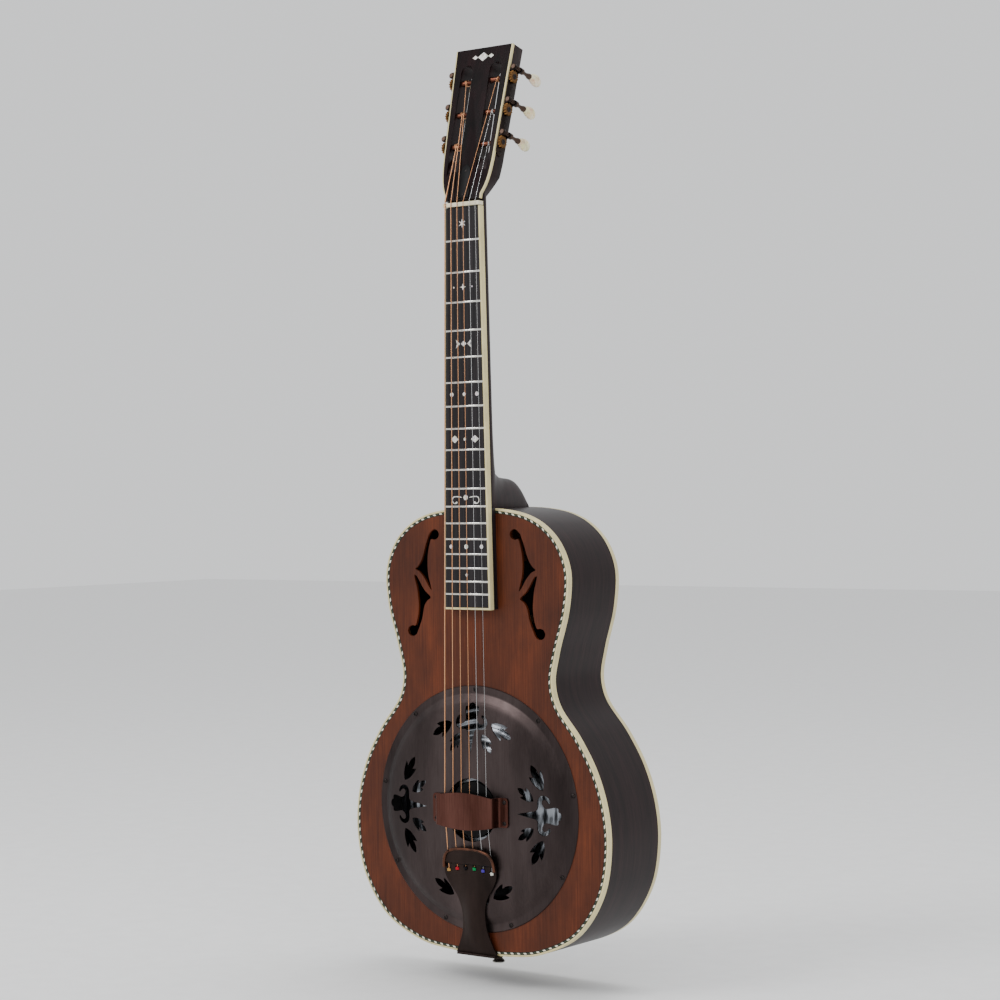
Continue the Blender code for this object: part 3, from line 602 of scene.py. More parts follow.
def raw_wood(name, light, dark):
    """Wood without lacquer, bare or under thin paint: matt, with open grain."""
    material, shader = start_material(name, Roughness=0.8)
    grain = streaks(material, 2.0, 30)
    feed(material, shader, Base_Color=ramp(material, grain, (0.35, dark), (0.65, light)))
    bumped(material, shader, grain, 0.3, 0.1)
    return material


def celluloid(name, light, dark, roughness=0.38):
    """Cream celluloid or bone, scraped level: a soft gloss with faint flow marks and yellowing."""
    material, shader = start_material(name, Roughness=roughness, Specular_IOR_Level=0.3,
                                      Subsurface_Weight=0.05)
    shader.inputs["Subsurface Radius"].default_value = (0.002, 0.0015, 0.0008)
    age = streaks(material, 14.0, 2.5, detail=5.0)
    feed(material, shader, Base_Color=ramp(material, age, (0.35, dark), (0.62, light)))
    bumped(material, shader, streaks(material, 1.2, 8), 0.12, 0.05)
    return material


def rope_marquetry(settings):
    """Slanting white slips in black-green wood, between two black lines."""
    material, shader = start_material("dyed_wood_rope_inlay", Roughness=0.45, Specular_IOR_Level=0.25)
    place = add_node(material, "Attribute", attribute_name="place").outputs["Vector"]
    split = add_node(material, "SeparateXYZ", {"Vector": place})
    along, across = split.outputs["X"], split.outputs["Y"]      # millimetres along, 0 to 1 across
    repeats = maths(material, "DIVIDE", along, settings.rope_repeat)
    sloped = maths(material, "ADD", repeats, maths(material, "MULTIPLY", across, 0.30))
    slips = ramp(material, maths(material, "FRACT", sloped), (0.04, "#1C2219"), (0.09, "#DEDAC6"),
                 (0.42, "#DEDAC6"), (0.47, "#1C2219"), (0.70, "#3A4532"), (0.94, "#1C2219"))
    edges = ramp(material, across, (0.22, "#3A4038"), (0.32, "#FFFFFF"), (0.72, "#FFFFFF"), (0.82, "#3A4038"))
    feed(material, shader, Base_Color=mixed(material, "MULTIPLY", 1.0, slips, edges))
    return material


def antique_metal(name, dark, light, roughness, line=0.9, contrast=0.25, cloud=30.0, painted_edge_shade=0.0):
    """Plated metal, blackened, then brushed upright; edge_dark leaves it darker away from the middle."""
    material, shader = start_material(name, Metallic=1.0, Roughness=roughness, Anisotropic=0.3)
    brush = streaks(material, line, 120, detail=5.0)
    tone = ramp(material, streaks(material, cloud, 3, detail=5.0), (0.34, dark), (0.70, light))
    lines = ramp(material, brush, (0.36, "#8A8A8A"), (0.64, "#FFFFFF"))
    brushed = mixed(material, "MULTIPLY", contrast, tone, lines)
    # painted shade: the colour is multiplied towards grey #6E7276 the farther a point lies from the middle
    # across x
    x = add_node(material, "SeparateXYZ", {"Vector": here(material)}).outputs["X"]
    aside = maths(material, "ABSOLUTE", x)
    wear_and_shade = spread(material, aside, 30 * MM, 115 * MM, 0.0, painted_edge_shade)
    feed(material, shader, Roughness=spread(material, brush, 0.3, 0.7, roughness - 0.07, roughness + 0.12),
         Base_Color=mixed(material, "MULTIPLY", wear_and_shade, brushed, linear("#6E7276")))
    bumped(material, shader, brush, 0.12, 0.03)
    return material


def plain_metal(name, code, roughness, flecks=0.06):
    """A small metal part, tumbled bright, with its lustre varying from handling."""
    material, shader = start_material(name, Metallic=1.0, Base_Color=linear(code))
    wear_and_shade = streaks(material, 2.5, 1.0, detail=5.0)
    feed(material, shader, Roughness=spread(material, wear_and_shade, 0.3, 0.7, roughness - flecks, roughness + flecks))
    return material


def spun_aluminium():
    """Thin aluminium spun on a lathe: bright, with rings left by the tool round the cone's axis."""
    material, shader = start_material("spun_aluminium", Metallic=1.0, Roughness=0.3,
                                      Base_Color=linear("#8E9298"))
    centred = add_node(material, "Mapping", {"Vector": here(material),
                                             "Location": (0, 0, -CONE_Z * MM)}).outputs[0]
    flat = add_node(material, "VectorMath", {0: centred, 1: (1, 0, 1)}, operation="MULTIPLY").outputs[0]
    radius = add_node(material, "VectorMath", {0: flat}, operation="LENGTH").outputs["Value"]
    rings = maths(material, "MULTIPLY", radius, math.tau / (1.6 * MM))
    bumped(material, shader, maths(material, "SINE", rings), 0.35, 0.05)
    return material


def ebony():
    """Ebony, oiled: near black with brown streaks along the grain."""
    material, shader = start_material("oiled_ebony", Roughness=0.42, Specular_IOR_Level=0.25)
    figure = streaks(material, 2.6, 40)
    feed(material, shader, Base_Color=ramp(material, figure, (0.40, "#0D0B0E"), (0.72, "#241E21")))
    bumped(material, shader, streaks(material, 0.6, 30, detail=2.0), 0.2, 0.06)
    return material


def pearl(name, light, middle, dark, size=3.0):
    """Shell or pearloid: cloudy plates of light with a clear polish over them."""
    material, shader = start_material(name, Roughness=0.26, Specular_IOR_Level=0.4, Coat_Weight=0.2,
                                      Coat_Roughness=0.1)
    clouds = streaks(material, size, 1.4, detail=3.0)
    cells = add_node(material, "TexVoronoi", {"Vector": here(material), "Scale": 1.0 / (size * MM)})
    tone = ramp(material, clouds, (0.34, dark), (0.48, middle), (0.64, light))
    feed(material, shader, Base_Color=mixed(material, "SOFT_LIGHT", 0.25, tone, cells.outputs["Color"]))
    return material


def black_lacquer(name, base, glow, roughness=0.16):
    """Black lacquer or plastic, smooth, with a second tone where light gets in."""
    material, shader = start_material(name, Roughness=roughness, Specular_IOR_Level=0.1)
    depth = streaks(material, 12.0, 5, detail=4.0)
    feed(material, shader, Base_Color=ramp(material, depth, (0.36, base), (0.72, glow)))
    bumped(material, shader, streaks(material, 6.0, 3), 0.05, 0.05)
    return material


def wound_wire(name, code, dark):
    """Round wire wound on a core; drawn at 0.9 mm a turn, three times its real pitch, so it shows."""
    material, shader = start_material(name, Metallic=1.0, Roughness=0.3)
    z = add_node(material, "SeparateXYZ", {"Vector": here(material)}).outputs["Z"]
    wave = maths(material, "SINE", maths(material, "MULTIPLY", z, math.tau / (0.9 * MM)))
    level = spread(material, wave, -1.0, 1.0, 0.0, 1.0)
    # painted shade: the colour falls to the dark tone where the wave dips, in the grooves between turns
    feed(material, shader, Base_Color=ramp(material, level, (0.1, dark), (0.6, code)))
    bumped(material, shader, wave, 0.4, 0.1)
    return material


FINISHES = {}


def make_finishes(settings):
    """Every finish on the guitar, by the short name that the pieces ask for."""
    side, binding, patina = settings.side_stain, settings.binding_tint, settings.cover_tone
    FINISHES.update({
        "top": stained_spruce(settings),
        "side": stained_mahogany("stained_mahogany_bent", side, "place", axis=0),
        "back": stained_mahogany("stained_mahogany_flat", side),
        "neck": stained_mahogany("stained_mahogany_carved", shade(side, 1.25)),
        "raw_spruce": raw_wood("raw_spruce_split", "#B79A72", "#8E7350"),
        "raw_mahogany": raw_wood("raw_mahogany_sawn", "#86583E", "#5E3A28"),
        "binding": celluloid("cream_celluloid_scraped", tuple(binding), shade(binding, 0.8)),
        "rope": rope_marquetry(settings),
        # the cover's edge setting paints shade on it, darker towards its sides
        "cover": antique_metal("antique_copper_plate_brushed", shade(patina, 0.72), shade(patina, 1.2), 0.38,
                               painted_edge_shade=0.55),
        "rest": antique_metal("antique_copper_plate_rubbed", "#4A2C25", "#66423A", 0.34, line=0.5,
                              contrast=0.6),
        "tail": antique_metal("antique_bronze_plate_blasted", "#241D1B", "#352B28", 0.46, contrast=0.15),
        # the roll's lighter copper tone is a painted highlight along the tailpiece's top edge
        "roll": antique_metal("antique_bronze_plate_painted_highlight", "#3A2A24", "#6E4838", 0.36, contrast=0.3,
                              cloud=9.0),
        "tuner": plain_metal("antique_copper_tumbled", "#6A4032", 0.34),
        "arbor": plain_metal("antique_bronze_turned", "#4A3B33", 0.34),
        "tuner_plate": antique_metal("antique_bronze_stamped", "#231D1B", "#3A2F2B", 0.40),
        "gear": plain_metal("brass_cut_gear", "#644626", 0.32),
        "screw": plain_metal("blackened_steel_screw", "#332E2D", 0.35),
        "steel": plain_metal("nickel_plated_steel", "#B9B6B0", 0.22),
        "cone": spun_aluminium(),
        "biscuit": black_lacquer("black_lacquered_maple", "#040404", "#0A090B", 0.3),
        "maple": raw_wood("saddle_maple_sanded", "#C9AC7C", "#A98A5C"),
        "ebony": ebony(),
        "fret": plain_metal("nickel_silver_fretwire", "#D6D4CE", 0.18),
        "pearl": pearl("mother_of_pearl_sawn", "#F0EEE6", "#CFCBC6", "#A6A29A", 2.2),
        "button": pearl("pearloid_moulded", "#EADFC2", "#DDCFAC", "#C4B28C", 5.0),
        "bone": celluloid("nut_bone_polished", "#E4DCC4", "#CFC4A4", 0.3),
        "veneer": black_lacquer("black_lacquered_veneer", "#050303", "#1C0A0D"),
        "plastic": black_lacquer("black_plastic_moulded", "#040405", "#09090A", 0.45),
        # near black on the cone's ledge is painted shade for the dark inside of the body
        "painted": raw_wood("poplar_black_as_painted_shade", "#120E0C", "#080605"),
        # 9A6444 is the painted shade in the grooves between turns
        "bronze_wire": wound_wire("phosphor_bronze_wound", "#E0AA80", "#9A6444"),
        "plain_wire": plain_metal("plain_steel_wire", "#CFCFCF", 0.2),
    })
    for name, code in (("low_e", "#A8824A"), ("a", "#A8202E"), ("d", "#16161A"), ("g", "#1E7A46"),
                       ("b", "#4A3A96"), ("high_e", "#C9C7BE")):
        FINISHES["ball_" + name] = plain_metal("anodised_ball_end_" + name, code, 0.32)


def finish(name):
    """Look up a finish, making all of them once."""
    if not FINISHES:
        make_finishes(bpy.context.scene.guitar_finish)
    return FINISHES[name]


# ---------------------------------------------------------------- body

# one sound hole is cut in two pieces, with a slanting bridge of wood left between them
F_HOLE_UPPER = ((59.8, -361.0), (62.6, -367.0), (65.8, -375.2), (68.4, -383.2), (72.0, -391.0),
                (76.2, -396.2), (79.4, -398.8), (74.5, -401.4), (70.7, -404.8), (66.3, -410.0),
                (62.5, -416.0), (57.8, -421.4), (59.4, -414.2), (61.7, -406.4), (62.6, -398.8),
                (62.7, -390.0), (61.9, -381.4), (59.9, -373.0), (57.4, -367.0), (53.4, -367.6),
                (48.8, -365.8), (46.8, -361.9), (48.8, -358.0), (53.4, -356.4))
F_HOLE_LOWER = ((80.9, -405.3), (79.7, -412.0), (77.4, -420.0), (76.1, -429.4), (75.5, -437.0),
                (75.9, -443.8), (77.5, -452.4), (80.6, -459.6), (84.6, -459.4), (89.0, -461.2),
                (90.8, -465.4), (88.8, -469.4), (84.4, -471.0), (79.4, -469.2), (75.7, -462.8),
                (72.6, -456.0), (70.5, -450.1), (69.0, -443.2), (67.5, -438.0), (63.8, -432.8),
                (59.1, -429.2), (66.2, -422.6), (70.5, -417.3), (74.9, -410.4), (78.1, -406.2))
WELL_RADIUS = 121.0


def build_soundboard():
    """The top with its sound holes and the cone's well, and the rope inlay let in round its edge."""
    holes = [circle(0, CONE_Z, WELL_RADIUS, 160)]
    for side in (-1, 1):
        for points in (F_HOLE_UPPER, F_HOLE_LOWER):
            holes.append([(side * x, z) for x, z in smooth_points(points, 6, closed=True)])
    bm = bmesh.new()
    faces = pierced_sheet(bm, body_outline(TRIM + ROPE_WIDE), holes)
    thicken(bm, faces, TOP_THICK)
    make_piece(bm, "soundboard_top", finish("top"), "spruce_top", replaces=("soundboard",))
    inner, outer = body_outline(TRIM + ROPE_WIDE), body_outline(TRIM)
    corners = ((inner, -0.02, 0.0), (outer, -0.02, 1.0), (outer, 1.5, 1.0), (inner, 1.5, 0.0))
    rows = [[(x, y, z) for x, z in loop] for loop, y, _ in corners]
    travelled = [0.0]
    for start, end in zip(outer, outer[1:]):
        travelled.append(travelled[-1] + (end - start).length)
    marks = [[(distance, across, 0.0) for distance in travelled] for _, _, across in corners]
    make_piece(skin(rows, close_rows=True, marks=marks), "rope_purfling", finish("rope"), "spruce_top")


def build_bindings():
    """Cream strips round both edges of the body, rounded where the face meets the side."""
    deep, round_off = BINDING_DEEP, 0.9
    section = [(0.0, deep), (0.0, round_off), (0.26, 0.26), (round_off, 0.0), (TRIM, 0.0), (TRIM, deep)]
    for name, level in (("top_binding", lambda z, y: y), ("back_binding", lambda z, y: back_y(z) - y)):
        rows = [[(x, level(z, y), z) for x, z in body_outline(distance)] for distance, y in section]
        make_piece(skin(rows, close_rows=True), name + "_strip", finish("binding"), "cream_binding",
                   replaces=(name,), sharp=50)


def build_sides():
    """Each side is bent from one board, so its grain follows the outline."""
    length = (len(BODY_HALF) + 1) * OUTLINE_STEPS + 1
    for side, name in ((-1, "bass"), (1, "treble")):
        rows, marks = [], []
        for distance, front in ((0.0, True), (0.0, False), (SIDE_THICK, False), (SIDE_THICK, True)):
            row, places, travelled, last = [], [], 0.0, None
            for x, z in body_outline(distance)[:length]:
                inward = BINDING_DEEP + GLUE_GAP
                depth = inward if front else back_y(z) - inward
                point = Vector((side * max(x, 0.15), depth, z))
                travelled += math.hypot(point.x - last.x, point.z - last.z) if last else 0.0
                row.append(point)
                places.append(Vector((travelled, depth, side * 90.0)) * MM)
                last = point
            rows.append(row)
            marks.append(places)
        bm = skin(rows, loop_rows=False, close_rows=True, marks=marks)
        for at_top in (True, False):
            ends = [e for e in bm.edges if e.is_boundary and (e.verts[0].co.z > -500) == at_top]
            bmesh.ops.contextual_create(bm, geom=ends)
        make_piece(bm, f"{name}_side_board", finish("side"), "dark_mahogany", replaces=(f"side_{name}",))


def build_back():
    """The flat back, which slopes away towards the tail, and finishes for the wood inside."""
    bm = bmesh.new()
    faces = [flat_face(bm, body_outline(TRIM + GLUE_GAP))]
    thicken(bm, faces, -BACK_THICK)
    for vert in bm.verts:
        vert.co.y += back_y(vert.co.z)
    make_piece(bm, "back_board", finish("back"), "dark_mahogany", replaces=("back",))
    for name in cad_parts:
        if "lining" in name or "brace" in name or name in ("neck_block", "tail_block", "cone_ledge"):
            # the cone's ledge takes the near-black painted shade
            kind = "painted" if name == "cone_ledge" else "raw_mahogany" if "block" in name else "raw_spruce"
            dress_node(name, finish(kind))


# ---------------------------------------------------------------- resonator

# half of a leaf, as (half width, height) in lengths of the leaf
LEAF = (((0.0, 0.0), (0.19, 0.15), (0.235, 0.40)), ((0.235, 0.40), (0.275, 0.52), (0.27, 0.66)),
        ((0.27, 0.66), (0.17, 0.60), (0.115, 0.55)), ((0.115, 0.55), (0.18, 0.82), (0.0, 1.0)))
# half of a bloom, as (across, along) a spray's axis: its spike, its curl and its crown
BLOOM = ((0.0, 59.7), (1.3, 66.0), (2.4, 72.0), (3.5, 78.4), (4.6, 82.6), (7.0, 84.6), (10.5, 84.5),
         (14.4, 84.6), (18.6, 86.6), (20.7, 90.8), (19.8, 95.4), (16.8, 98.9), (13.4, 99.6), (12.6, 98.0),
         (14.8, 96.2), (16.4, 93.2), (15.2, 90.6), (12.2, 90.2), (9.3, 92.0), (7.3, 95.2), (8.0, 100.0),
         (8.9, 104.5), (8.2, 108.6), (4.6, 109.0), (3.5, 111.2), (0.0, 112.6))


def leaf(base, tip, turn):
    """A leaf of three lobes between its two ends, given as (across, along) a spray's axis."""
    base, axis = Vector(base), Vector(tip) - Vector(base)
    aside = Vector((axis.y, -axis.x))
    half = arcs(LEAF, 5)
    points = half + [(0.0, 1.0)] + [(-w, h) for w, h in reversed(half[1:])]
    group = Matrix.Rotation(math.radians(turn), 2)
    return [group @ (base + axis * h + aside * w) for w, h in points]


def cover_openings():
    """Four sprays of cut-outs, each a bloom between four leaves."""
    found = []
    for turn in (0, 90, 180, 270):
        half = smooth_points(BLOOM, 4, closed=False)
        group = Matrix.Rotation(math.radians(turn), 2)
        found.append([group @ Vector(p) for p in half + [(-x, z) for x, z in reversed(half[1:-1])]])
        for side in (-1, 1):
            found.append(leaf((side * 14.3, 80.0), (side * 26.9, 60.5), turn))
            found.append(leaf((side * 25.8, 91.0), (side * 51.4, 76.4), turn))
    return found


def build_cover():
    """The spun and pierced cover, and the screws round its rim."""
    face = smooth_points(COVER_FACE, 5, closed=False)
    wall = 1.0
    under = [(r - (0.35 if 100 < r < 124 else 0.0), y + wall) for r, y in reversed(face)]
    profile = [(COVER_HOLE + 0.3, face[0][1]), *face[1:-1], (COVER_RADIUS - 0.3, face[-1][1]),
               (COVER_RADIUS, face[-1][1] + 0.3), *under]
    # a hair's turn keeps the cuts from running exactly along the facets' edges
    nudged = COVER @ Matrix.Rotation(0.009, 4, "Y")
    cover = make_object(turned(profile, 180, closed=True), "pierced_cover", nudged)
    cuts = [plate(outline, -16.0, 3.0) for outline in cover_openings()]
    carve(cover, make_object(gather(cuts), "cover_cuts", COVER))
    settle(cover, finish("cover"), "dark_copper", replaces=("cover_plate",), sharp=28)
    screws = []
    for index in range(COVER_SCREWS):
        angle = math.tau * index / COVER_SCREWS
        place = Matrix.Rotation(-angle, 4, "Y") @ Matrix.Translation((0, -1.35, SCREW_CIRCLE))
        screws.append(placed(screw_head(2.6, 1.5), place @ Matrix.Rotation(index * 1.3, 4, "Y")))
    make_piece(gather(screws), "cover_screws", finish("screw"), "dark_copper", COVER)


def screw_head(radius, height):
    """A domed head with a cross recess, facing -Y from y = 0."""
    steps = 8
    dome = [(radius * math.cos(math.pi / 2 * i / steps), -height * math.sin(math.pi / 2 * i / steps))
            for i in range(steps + 1)]
    head = turned([(radius, 0.35), *dome[:-1], (0.0, -height)], 24)
    bmesh.ops.contextual_create(head, geom=[e for e in head.edges if e.is_boundary])
    centre = min(head.verts, key=lambda v: v.co.y)
    for vert in head.verts:
        flat = math.hypot(vert.co.x, vert.co.z)
        on_cross = min(abs(vert.co.x), abs(vert.co.z)) < radius * 0.16
        if vert == centre or (flat < radius * 0.62 and on_cross):
            vert.co.y += height * 0.55
    return head


def build_cone():
    """A spun cone with rolled ridges, its flat top carrying the biscuit."""
    flat, rim_y = 34.0, 20.8
    ridges = []
    count = 90
    for step in range(count + 1):
        radius = flat + (114.5 - flat) * step / count
        y = -1.2 + (rim_y + 1.2) * step / count
        ridges.append((radius, y - 0.8 * math.sin(math.tau * (radius - flat) / 11.5)))
    front = [(0.0, -1.2), (flat - 1.0, -1.2), *ridges, (119.5, rim_y)]
    under = [(r if r < 1 else r - 0.4, y + 0.7) for r, y in reversed(front[:-1])]
    profile = [*front, (119.5, rim_y + 0.8), *under]
    make_piece(turned(profile, 144), "spun_cone", finish("cone"), "spun_aluminium", COVER,
               replaces=("resonator_cone",), sharp=60)


def string_slots(pitch, depth, low, high):
    """Six round grooves up a saddle or nut; depth gives each one's depth from its string's radius."""
    slots = []
    for _, radius, place, _, _ in STRINGS:
        x, y = place * pitch / 2, depth(radius)
        slots.append(tube([(x, y, low - 3), (x, y, high + 3)], radius + 0.25, 12))
    return gather(slots)


def build_biscuit():
    """The turned disc on the cone's flat top, and the saddle glued into it."""
    low, high = span("biscuit")
    profile = [(0.0, low.y), (27.5, low.y), (29.2, low.y + 0.5), (30.0, low.y + 1.6), (30.0, high.y - 0.4),
               (29.6, high.y), (0.0, high.y)]
    make_piece(turned(profile, 96), "maple_biscuit", finish("biscuit"), "black_maple", COVER,
               replaces=("biscuit",))
    low, high = span("saddle")
    saddle = make_object(soften(bar(low, high), 0.5), "maple_saddle")
    slots = string_slots(SADDLE_PITCH, lambda radius: SADDLE_STRING_Y - 0.1, low.z, high.z)
    carve(saddle, make_object(slots, "saddle_cuts"))
    settle(saddle, finish("maple"), "saddle_maple", replaces=("saddle",))


REST_HALF = ((49.3, -12.8), (39.6, -12.8), (38.2, -13.6), (36.9, -23.6), (35.6, -25.2), (33.0, -25.8))


def build_hand_rest():
    """A bent copper strap over the saddle; its middle is wider and slightly crowned."""
    wall = 1.3
    side = smooth_points([*REST_HALF, (17.0, -26.0), (0.0, -26.05)], 7, closed=False)
    line = [Vector(p) for p in [*side, *[(-x, y) for x, y in reversed(side[:-1])]]]
    rows = []
    for index, point in enumerate(line):
        along = (line[min(index + 1, len(line) - 1)] - line[max(index - 1, 0)]).normalized()
        normal = Vector((-along.y, along.x)) * -1.0
        half = 15.5 + 4.0 * max(0.0, math.cos(math.pi * point.x / 74.0))
        if abs(point.x) > 46.3:
            half -= 3.0 - math.sqrt(max(0.0, 9.0 - (abs(point.x) - 46.3) ** 2))
        outer = [(point, v * half) for v in (-1, -0.985, -0.9, -0.5, 0.0, 0.5, 0.9, 0.985, 1)]
        ring = [(p - normal * (-0.28 if abs(z) == half else 0.0), z) for p, z in outer]
        ring += [(point + normal * wall, z) for _, z in reversed(outer)]
        rows.append([(p.x, p.y, CONE_Z + z) for p, z in ring])
    make_piece(skin(rows, cap=True), "copper_hand_rest", finish("rest"), "hand_rest_copper",
               replaces=("hand_rest",), sharp=40)
    screws = [placed(screw_head(2.4, 1.5), Matrix.Translation((x, -12.8, z)))
              for x in (-44.6, 44.6) for z in (-11.0, 11.0)]
    make_piece(gather(screws), "hand_rest_screws", finish("screw"), "hand_rest_copper", COVER)


# ---------------------------------------------------------------- tailpiece

def tail_hole_s(place):
    return TAIL_HOLE_S + 1.0 - 0.14 * place * place


def along_profile(points, place):
    """The value at a place between the (place, value) points of a profile."""
    for (p1, v1), (p2, v2) in zip(points, points[1:]):
        if p1 <= place <= p2:
            return v1 + (v2 - v1) * (place - p1) / (p2 - p1)
    return points[-1][1]


def build_tailpiece():
    """A stem with an arched middle that spreads into a raised band with a rounded roll along its edge."""
    side = smooth_points(TAIL_SIDE, 6, closed=False)
    rows = []
    for half, s in side:
        arch, step = along_profile(TAIL_ARCH, s), along_profile(TAIL_STEP, s)
        line = []
        for index in range(17):
            share = index / 8 - 1.0
            line.append((half * share, step + arch * (1.0 - share * share) ** 1.5))
        rows.append([(x, -out - TAIL_THICK, s) for x, out in line]
                    + [(x, -out, s) for x, out in reversed(line)])
    piece = make_object(skin(rows, cap=True), "cast_tailpiece", TAIL)
    cuts = []
    for _, radius, place, _, _ in STRINGS:
        x, s = place * TAIL_PITCH / 2, tail_hole_s(place)
        size = BALL_RADIUS + 0.5
        hole = [(x + size * math.cos(a), s + size * math.sin(a)) for a in
                (math.radians(110 + 320 * i / 20) for i in range(21))]
        key = [*hole, (x + radius + 0.35, 98.6), (x - radius - 0.35, 98.6)]
        cuts.append(plate(key, -TAIL_THICK - 0.7, 1.0))
    carve(piece, make_object(gather(cuts), "tail_cuts", TAIL))
    settle(piece, finish("tail"), "dark_bronze", replaces=("tailpiece",), sharp=30)
    # the roll is finished lighter than the plate it is cast with: a painted highlight
    edge = [(half - 1.1, -3.5, s - 0.4) for half, s in side if s > 91.0]
    roll = edge + [(-x, y, s) for x, y, s in reversed(edge)]
    make_piece(tube(roll, 1.7, 14), "tailpiece_roll", finish("roll"), "dark_bronze", TAIL)

    for name, _, place, _, _ in STRINGS:
        x, s = place * TAIL_PITCH / 2, tail_hole_s(place)
        flat, bore = BALL_RADIUS - 0.5, 0.6
        profile = [(bore, -1.8), (flat, -1.8), (BALL_RADIUS, -1.3), (BALL_RADIUS, 1.3), (flat, 1.8),
                   (bore, 1.8)]
        ball = turned(profile, 24, closed=True)
        place_ball = TAIL @ Matrix.Translation((x, -0.8, s - 0.2)) @ Matrix.Rotation(math.radians(90), 4, "X")
        make_piece(ball, f"ball_end_{name}", finish("ball_" + name), "dark_bronze", place_ball)

    bracket = plate([(27, -3.8), (27, 3.5), (24.5, 9.0), (14.5, 42.0), (11.0, 46), (-11.0, 46), (-14.5, 42.0),
                     (-24.5, 9.0), (-27, 3.5), (-27, -3.8)], 0.0, 1.5)
    make_piece(soften(bracket, 0.35), "tail_bracket_plate", finish("tail"), "dark_bronze", TAIL_END,
               replaces=("tail_bracket",))
    knuckles = [tube([(x - 4.6, -2.2, -0.4), (x + 4.6, -2.2, -0.4)], 1.25, 16)
                for x in (-20.0, -10.0, 0.0, 10.0, 20.0)]
    make_piece(gather(knuckles), "tail_hinge_knuckles", finish("tail"), "dark_bronze", TAIL)


def build_strap_button():
    """The turned button in the tail end, on its felt washer."""
    profile = [(0, 1.6), (4.9, 1.6), (5.6, 2.1), (5.2, 3.2), (4.3, 5.0), (4.0, 7.0), (4.4, 9.2), (5.9, 11.0),
               (6.8, 11.9), (7.0, 12.6), (6.7, 13.2), (6.2, 13.5), (0, 13.5)]
    make_piece(turned(profile, 64), "tail_strap_button", finish("steel"), "button_steel",
               TAIL_END @ Matrix.Translation((0, 0, STRAP_BUTTON_Y)), replaces=("strap_button",))
    felt = turned([(0, 1.5), (7.6, 1.5), (7.9, 1.9), (7.6, 2.3), (0, 2.3)], 48)
    make_piece(felt, "strap_button_washer", finish("plastic"), "button_steel",
               TAIL_END @ Matrix.Translation((0, 0, STRAP_BUTTON_Y)))


# ---------------------------------------------------------------- neck

# the outer curve of neck and heel (y, z), the inner edge it faces (y, z) and the half width there
NECK_ROWS = ((8.0, -4.0, -6.6, -4.0, 23.4), (8.4, -40.0, -6.6, -40.0, 23.9),
             (9.3, -130.0, -6.6, -130.0, 25.4), (10.1, -215.0, -6.6, -215.0, 26.8),
             (11.0, -250.0, -6.6, -254.0, 27.4), (13.2, -270.0, -6.6, -280.0, 27.8),
             (17.0, -284.0, -6.6, -306.0, 28.0), (23.0, -292.5, -6.6, -330.0, 28.0),
             (35.0, -300.0, 2.0, -335.2, 26.5), (47.0, -302.4, 22.0, -335.2, 23.8),
             (58.0, -303.4, 42.0, -335.2, 20.8), (65.0, -305.6, 56.0, -335.2, 18.8),
             (71.0, -311.0, 66.0, -335.2, 17.4), (75.5, -318.5, 72.5, -335.2, 16.2),
             (78.0, -327.0, 77.0, -335.2, 15.6), (78.5, -333.0, 78.2, -335.2, 15.2))


def build_neck():
    """Neck, heel and headstock from one piece of wood, bored for the posts."""
    rows = []
    straight = 2.5
    for py, pz, qy, qz, half in smooth_points(NECK_ROWS, 6, closed=False):
        reach = math.hypot(py - qy, pz - qz)
        row = [(half, qy, qz)]
        for step in range(33):
            angle = math.pi * step / 32
            share = (straight + (reach - straight) * math.sin(angle)) / reach
            row.append((half * math.cos(angle), qy + (py - qy) * share, qz + (pz - qz) * share))
        row.append((-half, qy, qz))
        rows.append(row)
    neck = make_object(skin(rows, cap=True), "carved_neck")
    carve(neck, make_object(head_block(), "headstock_block", HEAD), "UNION")
    cuts = [head_slots(), head_ramps()]
    for side in (-1, 1):
        for row in POST_ROWS:
            bore = [(side * 5.5, POST_DEEP, row), (side * 45, POST_DEEP, row)]
            cuts.append(tube(bore, POST_RADIUS + 0.3, 24))
    for cut in cuts:
        carve(neck, make_object(cut, "neck_cut", HEAD))
    settle(neck, finish("neck"), "neck_mahogany", replaces=("neck",), sharp=38)


def head_block():
    """The headstock's wood, its back sloped down into the neck at its low end."""
    slope = 30.0
    block = plate(head_outline(), VENEER + GLUE_GAP, HEAD_THICK)
    everything = block.verts[:] + block.edges[:] + block.faces[:]
    bmesh.ops.bisect_plane(block, geom=everything, plane_co=(0, 0, slope), plane_no=(0, 0, 1))
    for vert in block.verts:
        low = max(0.0, 1.0 - vert.co.z / slope)
        if vert.co.y > HEAD_THICK / 2:
            vert.co.x *= 1.0 - 0.30 * low
            vert.co.y -= 4.0 * low
    return soften(block, 0.8, 3, 60.0)


def head_slots():
    """The two long openings that the posts cross."""
    return gather([plate(stadium(side * SLOT_X, SLOT_LOW, SLOT_HIGH, SLOT_HALF), -6.0, HEAD_THICK + 12.0)
                   for side in (-1, 1)])


def head_ramps():
    """Wedges that let the strings run down into the slots."""
    parts = []
    for side in (-1, 1):
        wedge = ((-1.0, 26.0), (5.0, SLOT_LOW + 1.0), (5.0, SLOT_LOW + 9.0), (-1.0, SLOT_LOW + 9.0))
        rows = [[(x, y, z) for y, z in wedge] for x in (side * SLOT_X - 7.0, side * SLOT_X + 7.0)]
        parts.append(skin(rows, cap=True))
    return gather(parts)


